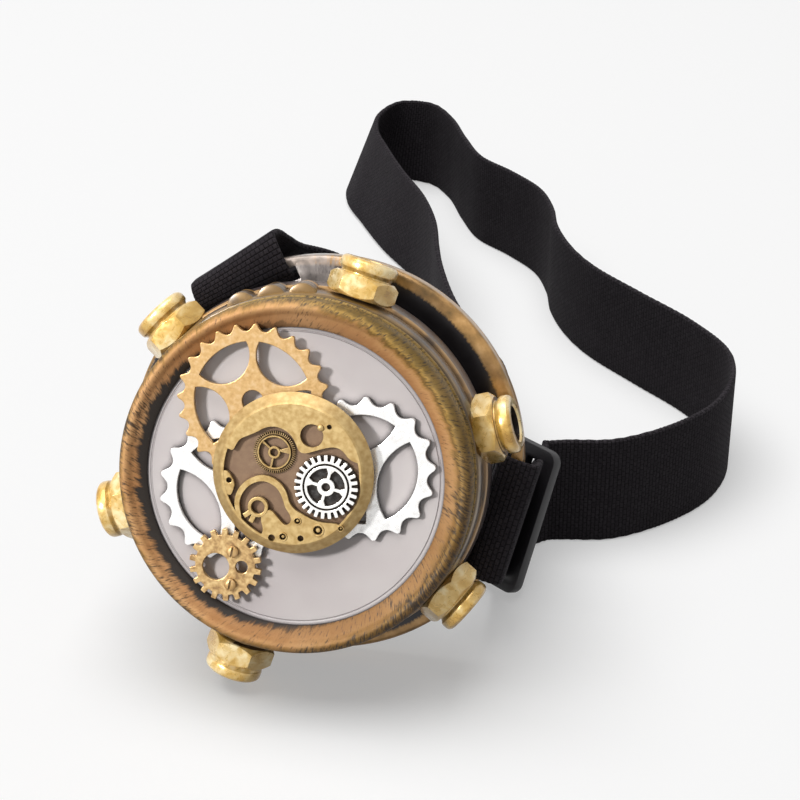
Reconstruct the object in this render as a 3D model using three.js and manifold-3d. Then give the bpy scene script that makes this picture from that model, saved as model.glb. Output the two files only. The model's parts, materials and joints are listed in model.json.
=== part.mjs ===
// Steampunk monocle: a one-eyed costume goggle with cogs on its lens, on an elastic head strap.
// Millimetres, +Z up, standing on the table at z = 0 with its lens towards -Y and leaning back.
// The eyepiece is modelled about its own axis: x to the right, y up its face, z forwards,
// with z = 0 at the crest of the front bezel.
import * as THREE from "three";
import { mergeVertices } from "three/addons/utils/BufferGeometryUtils.js";
import Module from "manifold-3d";

const wasm = await Module();
wasm.setup();

// Driving dimensions
const ROUND_STEPS = 48;
const SMALL_ROUND_STEPS = 20;
const FINE_ROUND_STEPS = 14;
const SEAT_GAP = 0.3;
const LEAN_DEG = 20.5;

const LENS_R = 30.6;
const LENS_THICKNESS = 2.0;
const LENS_FRONT = -3.2;
const LENS_HOLD = 2.6;

const BEZEL_WALL = 1.7;
const BEZEL_ROUND = 1.9;
const BEZEL_DEPTH = 8.0;
const BEZEL_EDGE = 0.25;
const BEZEL_SLOPE_RISE = 0.95;
const BEZEL_BACK_STEP = 0.6;
const BEZEL_LIP = 1.0;
const BEZEL_LIP_PROUD = 0.1;

const CUP_LEDGE = 2.1;
const CUP_WALL = 2.0;
const SPIGOT_STEP = 0.6;
const RING_STEP = 0.6;
const GROOVE_DEPTH = 0.8;
const WAIST_STEP = 0.4;
const FRONT_RING = 3.6;
const RING_GROOVE = 0.9;
const REAR_RING = 2.6;
const RING_SLOPE = 3.2;
const CUP_LENGTH = 30.5;

const HOOD_ANGLES_DEG = [92.8, 103.1, 113.4];
const HOOD_R = 2.9;
const HOOD_RISE = 3.8;
const HOOD_LENGTH = 9.0;

const RIM_WIDTH = 9.0;
const RIM_FRONT = -25.0;
const RIM_THICKNESS = 4.5;
const RIM_EDGE = 0.9;
const SLOT_ANGLES_DEG = [117, -14];
const SLOT_WIDTHS = [21.6, 26.4];
const SLOT_BAR = 4.2;
const SLOT_OPEN = 2.6;

const NUT_ANGLES_DEG = [17, 76, 138, 197.5, 253.2, 323];
const NUT_RAISES = [0, 0, 0, 0, 2.6, 0];
const NUT_ACROSS = 11.6;
const NUT_HEX_HEIGHT = 4.2;
const NUT_WAIST_HEIGHT = 0.5;
const NUT_COLLAR_HEIGHT = 2.6;
const NUT_COLLAR_R = 5.5;
const NUT_BORE_R = 3.4;
const NUT_BEHIND_BEZEL = 0.5;
const NUT_SEAT_R = 4.9;
const NUT_SEAT_RISE = 0.8;

const COG_THICKNESS = 1.0;
const BRASS_SPROCKET = {
  teeth: 24, tipR: 14.25, rootR: 12.9, arms: 5, ringR: 11.0, leafAt: 10.4, leafR: 5.5, boreR: 2.0,
};
const SILVER_SPROCKET = { teeth: 17, arms: 3, ringR: 10.1, leafAt: 12.8, leafR: 9.8, boreR: 2.0 };
const SILVER_TOOTH = 1.5;
const BRASS_AT = [-8.0, 14.0];
const SILVER_LEFT_AT = [-11.8, -3.5];
const SILVER_RIGHT_AT = [12.95, 2.94];
const FACE_DRAWN_R = 30.6;

const PLATE_R = 15.0;
const PLATE_AT = [0.4, 1.6];
const PLATE_THICKNESS = 2.4;
const PLATE_RECESS = 1.2;
const PLATE_EDGE_R = 12.6;
const PLATE_BEVEL = 1.2;
const PLATE_BEVEL_HEIGHT = 1.5;
const PLATE_FOOT = 0.4;
const BRIDGE_THICKNESS = 0.9;
const WHEEL_AT = [-3.4, 3.75];
const WHEEL_R = 3.9;
const WHEEL_ARMS = 3;
const BRIDGE_HOLE_AT = [3.45, 7.5];
const BRIDGE_HOLE_R = 2.15;
const EYE_AT = [-5.83, -6.6];
const EYE_R = 1.9;
const EYE_BORE_R = 1.27;
const EYE_LUGS_DEG = [217, 247];
const EYE_LUG = [2.1, 0.9];
const MOVEMENT_GEAR_AT = [6.6, -1.7];
const MOVEMENT_GEAR_R = 5.9;
const MOVEMENT_GEAR_ROOT_R = 4.7;
const MOVEMENT_GEAR_TEETH = 27;
const MOVEMENT_GEAR_ARMS = 4;
const GEAR_WELL_GAP = 0.45;

const SMALL_GEAR_AT = [-11.7, -17.2];
const SMALL_GEAR_R = 6.8;
const SMALL_GEAR_ROOT_R = 5.7;
const SMALL_GEAR_TEETH = 18;
const SMALL_GEAR_WINDOW_AT = [-1.75, -0.45];
const SMALL_GEAR_WINDOW_R = 2.55;
const SMALL_GEAR_EYE_AT = [3.15, -0.1];
const SMALL_GEAR_EYE_R = 1.2;
const GEAR_SCREWS_AT = [[1.4, 2.75], [1.25, -3.5]];
const GEAR_SCREW_R = 1.1;
const GEAR_SCREW_HEAD = 0.7;
const GEAR_SCREW_SHANK_R = 0.6;
const GEAR_SCREW_SLOT = 0.45;

const STRAP_WIDTH = 25.0;
const STRAP_THICKNESS = 1.4;
const STRAP_CLEARANCE = 0.5;
const STRAP_STEPS_PER_POINT = 2;
const SLOT_GATHER = 0.79;
const SLOT_SKEW_DEG = 9.5;
const SKEW_SLACK = 0.05;
const LEAN_HEEL = 2.0;

const SLIDER_LENGTH = 31.0;
const SLIDER_WIDTH = 20.0;
const SLIDER_THICKNESS = 2.5;
const SLIDER_END = 2.2;
const SLIDER_OUTER_BAR = 2.8;
const SLIDER_CENTRE_BAR = 4.0;
const SLIDER_CORNER_R = 2.5;
const SLIDER_ALONG_STRAP = [0.78, -0.61, 0.02];
const SLIDER_ACROSS_STRAP = [0.225, 0.341, 0.912];

// Radii that follow from the lens
const LENS_OPENING_R = LENS_R - LENS_HOLD;
const CUP_BORE_R = LENS_R - CUP_LEDGE;
const CUP_COLLAR_R = CUP_BORE_R + CUP_WALL;
const WAIST_R = CUP_COLLAR_R + WAIST_STEP;
const CUP_SPIGOT_R = LENS_R + SPIGOT_STEP;
const BEZEL_R = CUP_SPIGOT_R + SEAT_GAP + BEZEL_WALL;
const BEZEL_CREST_R = BEZEL_R - BEZEL_ROUND;
const CUP_RING_R = BEZEL_R - RING_STEP;
const CUP_GROOVE_R = CUP_RING_R - GROOVE_DEPTH;
const HOOD_TOP_R = CUP_RING_R + HOOD_RISE;
const NUT_SEAT_TOP_R = CUP_RING_R + NUT_SEAT_RISE;
const RIM_R = CUP_COLLAR_R + SEAT_GAP + RIM_WIDTH;
const SLOT_INNER = RIM_R - SLOT_BAR - SLOT_OPEN;

// The cogs are laid out for one size of lens and the strap's route for a 39.8 mm rim, and follow them.
const faceScale = LENS_R / FACE_DRAWN_R;
const routeScale = RIM_R / 39.8;

// The two silver sprockets mesh, so their size follows from the distance between them.
const silverReach = Math.hypot(SILVER_RIGHT_AT[0] - SILVER_LEFT_AT[0], SILVER_RIGHT_AT[1] - SILVER_LEFT_AT[1]);
SILVER_SPROCKET.rootR = (silverReach - SEAT_GAP - SILVER_TOOTH) / 2;
SILVER_SPROCKET.tipR = SILVER_SPROCKET.rootR + SILVER_TOOTH;

// Finishes
const antiqueCopper = new THREE.MeshStandardMaterial({ color: 0xb0824a, roughness: 0.42, metalness: 0.75 });
const blackedCopper = new THREE.MeshStandardMaterial({ color: 0x6d4f31, roughness: 0.38, metalness: 0.6 });
const goldPaint = new THREE.MeshStandardMaterial({ color: 0xd9bf6c, roughness: 0.35, metalness: 0.8 });
const brass = new THREE.MeshStandardMaterial({ color: 0xb08c50, roughness: 0.4, metalness: 0.9 });
const bronze = new THREE.MeshStandardMaterial({ color: 0x8a6a45, roughness: 0.5, metalness: 0.85 });
const silver = new THREE.MeshStandardMaterial({ color: 0xe4e4e6, roughness: 0.25, metalness: 1.0 });
const clearLens = new THREE.MeshStandardMaterial({
  color: 0xd8d2d4, roughness: 0.05, metalness: 0.0, transparent: true, opacity: 0.35,
});
const blackElastic = new THREE.MeshStandardMaterial({ color: 0x1c191b, roughness: 0.9, metalness: 0.0 });
const blackPlastic = new THREE.MeshStandardMaterial({ color: 0x17171a, roughness: 0.45, metalness: 0.0 });

// Solids
const radians = THREE.MathUtils.degToRad;

function solid(geometry) {
  const bare = geometry.clone();
  bare.deleteAttribute("normal");
  bare.deleteAttribute("uv");
  const merged = mergeVertices(bare, 1e-4);
  const vertProperties = new Float32Array(merged.attributes.position.array);
  const triVerts = new Uint32Array(merged.index.array);
  const made = new wasm.Manifold(new wasm.Mesh({ numProp: 3, vertProperties, triVerts }));
  if (made.volume() > 0) return made;
  for (let i = 0; i < triVerts.length; i += 3) {
    [triVerts[i + 1], triVerts[i + 2]] = [triVerts[i + 2], triVerts[i + 1]];
  }
  return new wasm.Manifold(new wasm.Mesh({ numProp: 3, vertProperties, triVerts }));
}

function geometryOf(made) {
  const { numProp, numVert, vertProperties, triVerts } = made.getMesh();
  const places = new Float32Array(numVert * 3);
  for (let i = 0; i < numVert; i++) {
    places.set(vertProperties.subarray(i * numProp, i * numProp + 3), i * 3);
  }
  const geometry = new THREE.BufferGeometry();
  geometry.setAttribute("position", new THREE.BufferAttribute(places, 3));
  geometry.setIndex(new THREE.BufferAttribute(triVerts, 1));
  geometry.computeVertexNormals();
  return geometry;
}

function part(name, made, material) {
  const mesh = new THREE.Mesh(geometryOf(made), material);
  mesh.name = name;
  return mesh;
}

// A closed profile of [radius, height] points, turned about z.
function turned(profile, steps = ROUND_STEPS) {
  const points = profile.map(([r, z]) => new THREE.Vector2(r, z));
  points.push(points[0].clone());
  return solid(new THREE.LatheGeometry(points, steps).rotateX(Math.PI / 2));
}

// Points of a quarter-like arc between two angles, in [radius, height].
function arc([r, z], [acrossR, upZ], fromDeg, toDeg, steps) {
  const points = [];
  for (let i = 0; i <= steps; i++) {
    const a = radians(fromDeg + ((toDeg - fromDeg) * i) / steps);
    points.push([r + acrossR * Math.cos(a), z + upZ * Math.sin(a)]);
  }
  return points;
}

function slab(shape, bottom, thickness, steps = 6) {
  const how = { depth: thickness, bevelEnabled: false, curveSegments: steps };
  return solid(new THREE.ExtrudeGeometry(shape, how).translate(0, 0, bottom));
}

function rod(radius, bottom, height, [x, y] = [0, 0], steps = SMALL_ROUND_STEPS) {
  const made = new THREE.CylinderGeometry(radius, radius, height, steps).rotateX(Math.PI / 2);
  return solid(made.translate(x, y, bottom + height / 2));
}

function block([width, depth, height], [x, y, z]) {
  return solid(new THREE.BoxGeometry(width, depth, height).translate(x, y, z));
}

// A solid made along z is stood on its side at an angle round the eyepiece, its z pointing outwards.
function outward(made, angleDeg, axial) {
  return made.rotate([0, 90, 0]).rotate([0, 0, angleDeg]).translate([0, 0, axial]);
}

function hole(shape, radius, [x, y]) {
  shape.holes.push(new THREE.Path().absarc(x, y, radius, 0, 2 * Math.PI, true));
}

// Front bezel: a bead with a straight inner slope, a thin lip behind it and a socket for the cup.
const bezelBack = -BEZEL_DEPTH;
const lensBack = LENS_FRONT - LENS_THICKNESS;
const bezelShelf = LENS_FRONT + SEAT_GAP;
const slopeTop = -0.45;

function frontBezel() {
  const slopeFoot = BEZEL_CREST_R - 1.0;
  const stepBack = BEZEL_R - BEZEL_BACK_STEP;
  const lip = BEZEL_R + BEZEL_LIP_PROUD;
  return turned([
    [LENS_OPENING_R, bezelShelf],
    [LENS_OPENING_R, bezelShelf + BEZEL_EDGE],
    [slopeFoot, bezelShelf + BEZEL_SLOPE_RISE],
    [BEZEL_CREST_R - 0.35, slopeTop],
    ...arc([BEZEL_CREST_R, -BEZEL_ROUND], [BEZEL_ROUND, BEZEL_ROUND], 95, 0, 5),
    [BEZEL_R, bezelBack + 2.2],
    [stepBack, bezelBack + 1.6],
    [stepBack, bezelBack + BEZEL_LIP],
    [lip, bezelBack + BEZEL_LIP - 0.2],
    [lip, bezelBack],
    [CUP_SPIGOT_R + SEAT_GAP, bezelBack],
    [CUP_SPIGOT_R + SEAT_GAP, lensBack],
    [LENS_R + SEAT_GAP, lensBack],
    [LENS_R + SEAT_GAP, bezelShelf],
  ]);
}

function lensDisc() {
  const edge = 0.3;
  return turned([
    [0, lensBack],
    [LENS_R, lensBack],
    [LENS_R, LENS_FRONT - edge],
    [LENS_R - edge, LENS_FRONT],
    [0, LENS_FRONT],
  ]);
}

// Eyecup body: spigot, two copper rings with a groove between them, black waist and rear collar.
const cupFront = lensBack - SEAT_GAP;
const cupShoulder = bezelBack - SEAT_GAP;
const frontRingBack = cupShoulder - FRONT_RING;
const rearRingFront = frontRingBack - RING_GROOVE;
const rearRingBack = rearRingFront - REAR_RING;
const slopeBack = rearRingBack - RING_SLOPE;
const nutMiddle = bezelBack - NUT_BEHIND_BEZEL - NUT_ACROSS / 2;

function eyecupBody() {
  const edge = 0.35;
  let body = turned([
    [CUP_BORE_R, cupFront],
    [CUP_SPIGOT_R, cupFront],
    [CUP_SPIGOT_R, cupShoulder],
    [CUP_RING_R - edge, cupShoulder],
    [CUP_RING_R, cupShoulder - edge],
    [CUP_RING_R, frontRingBack + edge],
    [CUP_GROOVE_R, frontRingBack],
    [CUP_GROOVE_R, rearRingFront],
    [CUP_RING_R, rearRingFront - edge],
    [CUP_RING_R, rearRingBack + edge],
    [CUP_RING_R - edge, rearRingBack],
    [WAIST_R + 0.5, slopeBack],
    [WAIST_R, slopeBack - 1.0],
    [WAIST_R, RIM_FRONT + SEAT_GAP],
    [CUP_COLLAR_R, RIM_FRONT + SEAT_GAP],
    [CUP_COLLAR_R, -CUP_LENGTH],
    [CUP_BORE_R, -CUP_LENGTH],
  ]);
  const bore = rod(CUP_BORE_R, -CUP_LENGTH - 1, CUP_LENGTH + 1 + cupFront + 1, [0, 0], ROUND_STEPS);
  const hood = new THREE.CapsuleGeometry(HOOD_R, HOOD_LENGTH - 2 * HOOD_R, 2, 10).rotateX(Math.PI / 2);
  const hoodMiddle = cupShoulder - HOOD_LENGTH / 2;
  for (const angle of HOOD_ANGLES_DEG) {
    const a = radians(angle);
    const r = HOOD_TOP_R - HOOD_R;
    body = body.add(solid(hood.clone().translate(r * Math.cos(a), r * Math.sin(a), hoodMiddle)));
  }
  NUT_ANGLES_DEG.forEach((angle, i) => {
    const height = NUT_SEAT_TOP_R + NUT_RAISES[i] - CUP_BORE_R;
    const seat = rod(NUT_SEAT_R, CUP_BORE_R, height, [0, 0], FINE_ROUND_STEPS);
    body = body.add(outward(seat, angle, nutMiddle));
  });
  return body.subtract(bore);
}

// Rear rim: a wide ring with rounded edges and a straight slot for each strap end.
const rimBack = RIM_FRONT - RIM_THICKNESS;
const slotMiddle = SLOT_INNER + SLOT_OPEN / 2;

function rearRim() {
  let rim = turned([
    [CUP_COLLAR_R + SEAT_GAP, rimBack],
    [RIM_R - RIM_EDGE, rimBack],
    [RIM_R, rimBack + RIM_EDGE],
    [RIM_R, RIM_FRONT - RIM_EDGE],
    [RIM_R - RIM_EDGE, RIM_FRONT],
    [CUP_COLLAR_R + SEAT_GAP, RIM_FRONT],
  ]);
  const rimMiddle = RIM_FRONT - RIM_THICKNESS / 2;
  SLOT_ANGLES_DEG.forEach((angle, i) => {
    const slot = block([SLOT_OPEN, SLOT_WIDTHS[i], 2 * RIM_THICKNESS], [slotMiddle, 0, rimMiddle]);
    rim = rim.subtract(slot.rotate([0, 0, angle]));
  });
  return rim;
}

// Lock nut: chamfered hexagon, narrow groove and round collar, with an open bore.
function hexNut() {
  const corner = NUT_ACROSS / Math.sqrt(3);
  const chamfer = 0.9;
  const flat = NUT_ACROSS / 2;
  const top = NUT_HEX_HEIGHT;
  const collarBottom = top + NUT_WAIST_HEIGHT;
  const nutTop = collarBottom + NUT_COLLAR_HEIGHT;
  const hexagon = solid(
    new THREE.CylinderGeometry(corner, corner, top, 6).rotateX(Math.PI / 2).translate(0, 0, top / 2),
  );
  const rounding = turned([
    [0, 0],
    [flat - 0.2, 0],
    [corner, chamfer],
    [corner, top - chamfer],
    [flat - 0.2, top],
    [0, top],
  ], SMALL_ROUND_STEPS);
  const collar = turned([
    [0, top - 0.5],
    [NUT_COLLAR_R - 0.6, top - 0.5],
    [NUT_COLLAR_R - 0.6, collarBottom],
    [NUT_COLLAR_R, collarBottom + 0.5],
    [NUT_COLLAR_R, nutTop - 0.8],
    [NUT_COLLAR_R - 0.7, nutTop],
    [0, nutTop],
  ], SMALL_ROUND_STEPS);
  const bore = rod(NUT_BORE_R, -1, nutTop + 2, [0, 0], FINE_ROUND_STEPS);
  return hexagon.intersect(rounding).add(collar).subtract(bore);
}

// Cogs lie in layers on the lens, each resting on the one below.
const silverLevel = LENS_FRONT + SEAT_GAP;
const brassLevel = silverLevel + COG_THICKNESS + SEAT_GAP;
const plateLevel = brassLevel + COG_THICKNESS + SEAT_GAP;
const plateFloor = plateLevel + PLATE_THICKNESS - PLATE_RECESS;
const bridgeLevel = plateFloor + SEAT_GAP;

function toothedOutline(teeth, tipR, rootR, tipShare, rootShare, turnDeg = 0) {
  const shape = new THREE.Shape();
  const pitch = (2 * Math.PI) / teeth;
  for (let i = 0; i < teeth; i++) {
    const middle = radians(turnDeg) + i * pitch;
    const corners = [
      [rootR, -0.5 + rootShare / 2],
      [tipR, -tipShare / 2],
      [tipR, tipShare / 2],
      [rootR, 0.5 - rootShare / 2],
    ];
    corners.forEach(([r, share], k) => {
      const a = middle + share * pitch;
      const move = i === 0 && k === 0 ? "moveTo" : "lineTo";
      shape[move](r * Math.cos(a), r * Math.sin(a));
    });
  }
  shape.closePath();
  return shape;
}

// A sprocket's edge: rounded tips with scalloped valleys between them.
const SCALLOP = [[-0.5, 0], [-0.33, 0.2], [-0.13, 0.9], [0, 1], [0.13, 0.9], [0.33, 0.2]];

function scallopedOutline(teeth, tipR, rootR, turnDeg) {
  const pitch = (2 * Math.PI) / teeth;
  const points = [];
  for (let i = 0; i < teeth; i++) {
    for (const [share, height] of SCALLOP) {
      const a = radians(turnDeg) + (i + share) * pitch;
      const r = rootR + (tipR - rootR) * height;
      points.push(new THREE.Vector2(r * Math.cos(a), r * Math.sin(a)));
    }
  }
  return new THREE.Shape(points);
}

// A leaf-shaped window: what a ring round the hub and a circle between two arms have in common.
function leafWindow(middleDeg, { ringR, leafAt, leafR }) {
  const steps = 6;
  const middle = radians(middleDeg);
  const half = Math.acos((ringR ** 2 + leafAt ** 2 - leafR ** 2) / (2 * ringR * leafAt));
  const tip = Math.atan2(ringR * Math.sin(half), ringR * Math.cos(half) - leafAt);
  const points = [];
  for (let i = 0; i <= steps; i++) {
    const a = middle - half + (2 * half * i) / steps;
    points.push(new THREE.Vector2(ringR * Math.cos(a), ringR * Math.sin(a)));
  }
  for (let i = 1; i < steps; i++) {
    const a = tip + ((2 * Math.PI - 2 * tip) * i) / steps;
    const x = leafAt + leafR * Math.cos(a);
    const y = leafR * Math.sin(a);
    points.push(new THREE.Vector2(x, y).rotateAround(new THREE.Vector2(), middle));
  }
  return new THREE.Path(points);
}

function sprocket(size, level, turnDeg, armDeg) {
  const shape = scallopedOutline(size.teeth, size.tipR, size.rootR, turnDeg);
  for (let i = 0; i < size.arms; i++) {
    shape.holes.push(leafWindow(armDeg + ((i + 0.5) * 360) / size.arms, size));
  }
  hole(shape, size.boreR, [0, 0]);
  return slab(shape, level, COG_THICKNESS, 8);
}

// Edges of the two bridges, drawn from the middle of the plate and run out past its rim.
const TRAIN_BRIDGE_EDGE = [
  [-16, 5.0], [-11.83, 3.76], [-11.01, 3.44], [-10.41, 4.82], [-9.79, 5.81], [-8.09, 6.62], [-6.54, 7.42],
  [-5.51, 8.18], [-3.94, 8.64], [-2.34, 8.47], [-0.98, 7.8], [0, 6.83], [0.58, 5.83], [1.03, 4.81],
  [1.59, 4.21], [2.65, 4.17], [3.95, 4.69], [5.76, 5.38], [7.31, 5.79], [8.64, 5.65], [9.6, 4.95],
  [10.31, 4.09], [11.13, 3.51], [12.19, 3.26], [16, 2.4], [16, 16], [-16, 16],
];
const LOWER_BRIDGE_EDGE = [
  [11.4, -10.9], [9.7, -8.5], [8.37, -8.29], [6.26, -8.36], [4.38, -8.01], [2.2, -7.02], [0.83, -6.36],
  [-0.16, -5.12], [-0.66, -3.3], [-1.8, -1.81], [-3.46, -0.77], [-5.07, -0.53], [-6.39, -0.78], [-8.47, -1.91],
  [-9.98, -3.93], [-10.38, -6.64], [-9.3, -9.49], [-8.65, -9.15], [-9.45, -6.56], [-9.1, -4.6], [-7.85, -2.75],
  [-6.08, -1.75], [-4.48, -1.65], [-2.9, -2.35], [-1.95, -3.3], [-1.25, -4.7], [-0.75, -6.25], [0.3, -7.5],
  [0.5, -8.75], [-0.32, -9.6], [-1.15, -9.2], [-2.28, -8.0], [-3.3, -6.95], [-4.1, -7.0], [-5.4, -8.3],
  [-4.5, -10.9], [-5.3, -12.0], [-8.6, -16], [16, -16],
];
const PLATE_STRIP = [[-12.8, -4.4], [-11.2, -5.0], [-10.75, -4.4], [-10.3, -2.5], [-11.76, -0.36], [-13, -0.4]];
const PLATE_STRIP_HOLE_AT = [-11.5, -2.1];
const PLATE_STRIP_HOLE_R = 0.5;

const plateTop = plateLevel + PLATE_THICKNESS;
const bevelFoot = plateTop - PLATE_BEVEL_HEIGHT;
const bevelR = (z) => PLATE_R - (PLATE_BEVEL * (z - bevelFoot)) / PLATE_BEVEL_HEIGHT;

function flat(points, bottom, height, grow = 0) {
  let outline = new wasm.CrossSection([points], "EvenOdd");
  if (grow) outline = outline.offset(grow, "Miter");
  return outline.extrude(height).translate([0, 0, bottom]);
}

// A bridge fills the plate's outline above the floor, inside its own edge.
function bridge(edge) {
  const disc = turned([
    [0, bridgeLevel],
    [bevelR(bridgeLevel), bridgeLevel],
    [bevelR(plateTop), plateTop],
    [0, plateTop],
  ]);
  return disc.intersect(flat(edge, bridgeLevel - 1, BRIDGE_THICKNESS + 2));
}

function movementPlate() {
  const strip = new THREE.Shape(PLATE_STRIP.map(([x, y]) => new THREE.Vector2(x, y)));
  hole(strip, PLATE_STRIP_HOLE_R, PLATE_STRIP_HOLE_AT);
  const gearWell = rod(MOVEMENT_GEAR_R + GEAR_WELL_GAP, plateFloor, PLATE_THICKNESS, MOVEMENT_GEAR_AT);
  return turned([
    [0, plateLevel],
    [PLATE_R - PLATE_FOOT, plateLevel],
    [PLATE_R, plateLevel + PLATE_FOOT],
    [PLATE_R, bevelFoot],
    [bevelR(plateTop), plateTop],
    [PLATE_EDGE_R, plateTop],
    [PLATE_EDGE_R, plateFloor],
    [0, plateFloor],
  ])
    .add(slab(strip, plateFloor - SEAT_GAP, PLATE_RECESS + SEAT_GAP / 2, 5))
    .subtract(flat(TRAIN_BRIDGE_EDGE, plateFloor, PLATE_THICKNESS, SEAT_GAP))
    .subtract(flat(LOWER_BRIDGE_EDGE, plateFloor, PLATE_THICKNESS, SEAT_GAP))
    .subtract(gearWell);
}

// Upper bridge: the top of the disc down to a wavy edge that dips round the wheel, with a round hole.
function trainBridge() {
  const bore = rod(BRIDGE_HOLE_R, bridgeLevel - 1, BRIDGE_THICKNESS + 2, BRIDGE_HOLE_AT);
  return bridge(TRAIN_BRIDGE_EDGE).subtract(bore);
}

// Lower bridge: a crescent along the bottom that runs up into a curl, and an arm to a ringed eye with two lugs.
function lowerBridge() {
  const eye = new THREE.Shape().absarc(EYE_AT[0], EYE_AT[1], EYE_R, 0, 2 * Math.PI, false);
  hole(eye, EYE_BORE_R, EYE_AT);
  const [lugLength, lugWidth] = EYE_LUG;
  const lugMiddle = (EYE_R + EYE_BORE_R + lugLength) / 2;
  const bridgeMiddle = bridgeLevel + BRIDGE_THICKNESS / 2;
  let made = bridge(LOWER_BRIDGE_EDGE).add(slab(eye, bridgeLevel, BRIDGE_THICKNESS, 9));
  for (const angle of EYE_LUGS_DEG) {
    const lug = block([lugLength, lugWidth, BRIDGE_THICKNESS], [lugMiddle, 0, bridgeMiddle]);
    made = made.add(lug.rotate([0, 0, angle]).translate([EYE_AT[0], EYE_AT[1], 0]));
  }
  return made;
}

function spokedWheel(outline, arms, rimR, hubR, armWidth, boreR, armDeg) {
  for (let i = 0; i < arms; i++) {
    const middle = radians(armDeg + ((i + 0.5) * 360) / arms);
    const half = Math.PI / arms;
    const outer = half - armWidth / 2 / rimR;
    const inner = half - armWidth / 2 / hubR;
    const window = new THREE.Path();
    window.absarc(0, 0, rimR, middle - outer, middle + outer, false);
    window.absarc(0, 0, hubR, middle + inner, middle - inner, true);
    window.closePath();
    outline.holes.push(window);
  }
  hole(outline, boreR, [0, 0]);
  return outline;
}

function trainWheel() {
  const rim = new THREE.Shape().absarc(0, 0, WHEEL_R, 0, 2 * Math.PI, false);
  const wheel = spokedWheel(rim, WHEEL_ARMS, WHEEL_R - 1.1, 1.2, 0.6, 0.7, 20);
  return slab(wheel, bridgeLevel, BRIDGE_THICKNESS - 0.3, 7);
}

function movementGear() {
  const outline = toothedOutline(MOVEMENT_GEAR_TEETH, MOVEMENT_GEAR_R, MOVEMENT_GEAR_ROOT_R, 0.4, 0.42);
  const wheel = spokedWheel(outline, MOVEMENT_GEAR_ARMS, MOVEMENT_GEAR_ROOT_R - 1.4, 1.6, 0.8, 0.8, 78);
  return slab(wheel, bridgeLevel, BRIDGE_THICKNESS + 0.2, 5);
}

function smallGear() {
  const outline = toothedOutline(SMALL_GEAR_TEETH, SMALL_GEAR_R, SMALL_GEAR_ROOT_R, 0.4, 0.44, 13.4);
  hole(outline, SMALL_GEAR_WINDOW_R, SMALL_GEAR_WINDOW_AT);
  hole(outline, SMALL_GEAR_EYE_R, SMALL_GEAR_EYE_AT);
  for (const place of GEAR_SCREWS_AT) {
    hole(outline, GEAR_SCREW_SHANK_R + SEAT_GAP, place);
  }
  return slab(outline, brassLevel, COG_THICKNESS, 8);
}

function gearScrew() {
  const face = brassLevel + COG_THICKNESS + SEAT_GAP;
  const head = turned([
    [0, face],
    [GEAR_SCREW_R, face],
    [GEAR_SCREW_R, face + GEAR_SCREW_HEAD * 0.5],
    [GEAR_SCREW_R * 0.7, face + GEAR_SCREW_HEAD],
    [0, face + GEAR_SCREW_HEAD],
  ], 16);
  const shank = rod(GEAR_SCREW_SHANK_R, brassLevel, face + 0.2 - brassLevel, [0, 0], 12);
  const slot = block(
    [GEAR_SCREW_SLOT, 3 * GEAR_SCREW_R, GEAR_SCREW_HEAD],
    [0, 0, face + GEAR_SCREW_HEAD],
  );
  return head.add(shank).subtract(slot);
}

// Slider: a plate with round corners and two slots, lying along the strap.
const slotLong = SLIDER_LENGTH - 2 * SLIDER_END;
const slotWide = (SLIDER_WIDTH - SLIDER_CENTRE_BAR) / 2 - SLIDER_OUTER_BAR;
const slotOffset = (SLIDER_CENTRE_BAR + slotWide) / 2;

function roundedRectangle(width, length, radius, [x, y] = [0, 0], path = new THREE.Shape()) {
  const w = width / 2 - radius;
  const l = length / 2 - radius;
  path.absarc(x + w, y + l, radius, 0, Math.PI / 2, false);
  path.absarc(x - w, y + l, radius, Math.PI / 2, Math.PI, false);
  path.absarc(x - w, y - l, radius, Math.PI, 1.5 * Math.PI, false);
  path.absarc(x + w, y - l, radius, 1.5 * Math.PI, 2 * Math.PI, false);
  path.closePath();
  return path;
}

function strapSlider() {
  const shape = roundedRectangle(SLIDER_WIDTH, SLIDER_LENGTH, SLIDER_CORNER_R);
  for (const side of [-1, 1]) {
    shape.holes.push(roundedRectangle(slotWide, slotLong, 0.6, [side * slotOffset, 0], new THREE.Path()));
  }
  return slab(shape, -SLIDER_THICKNESS / 2, SLIDER_THICKNESS, 4);
}

// The eyepiece stands on the lowest corner of its rim.
const lean = radians(LEAN_DEG);
const rimFoot = (RIM_R - RIM_EDGE) * Math.cos(lean) - rimBack * Math.sin(lean);
const rimSide = RIM_R * Math.cos(lean) - (rimBack + RIM_EDGE) * Math.sin(lean);
const eyepiece = new THREE.Group();
eyepiece.position.set(0, 0, Math.max(rimFoot, rimSide));
eyepiece.rotation.x = Math.PI / 2 - lean;
eyepiece.updateMatrixWorld(true);

const sliderPlace = new THREE.Group();
const sliderY = new THREE.Vector3(...SLIDER_ACROSS_STRAP).normalize();
const sliderX = new THREE.Vector3(...SLIDER_ALONG_STRAP);
sliderX.addScaledVector(sliderY, -sliderX.dot(sliderY)).normalize();
const sliderZ = new THREE.Vector3().crossVectors(sliderX, sliderY);
const sliderMatrix = new THREE.Matrix4().makeBasis(sliderX, sliderY, sliderZ).setPosition(
  new THREE.Vector3(33.8, 46.9, 15.2).multiplyScalar(routeScale),
);
sliderPlace.applyMatrix4(sliderMatrix);

// Strap: one ribbon from its sewn left end, round the back and through the slider to its right end.
// A stop is a point of its middle line with the direction across the ribbon there and the share of its width.
const layerGap = STRAP_THICKNESS / 2 + STRAP_CLEARANCE;

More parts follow.
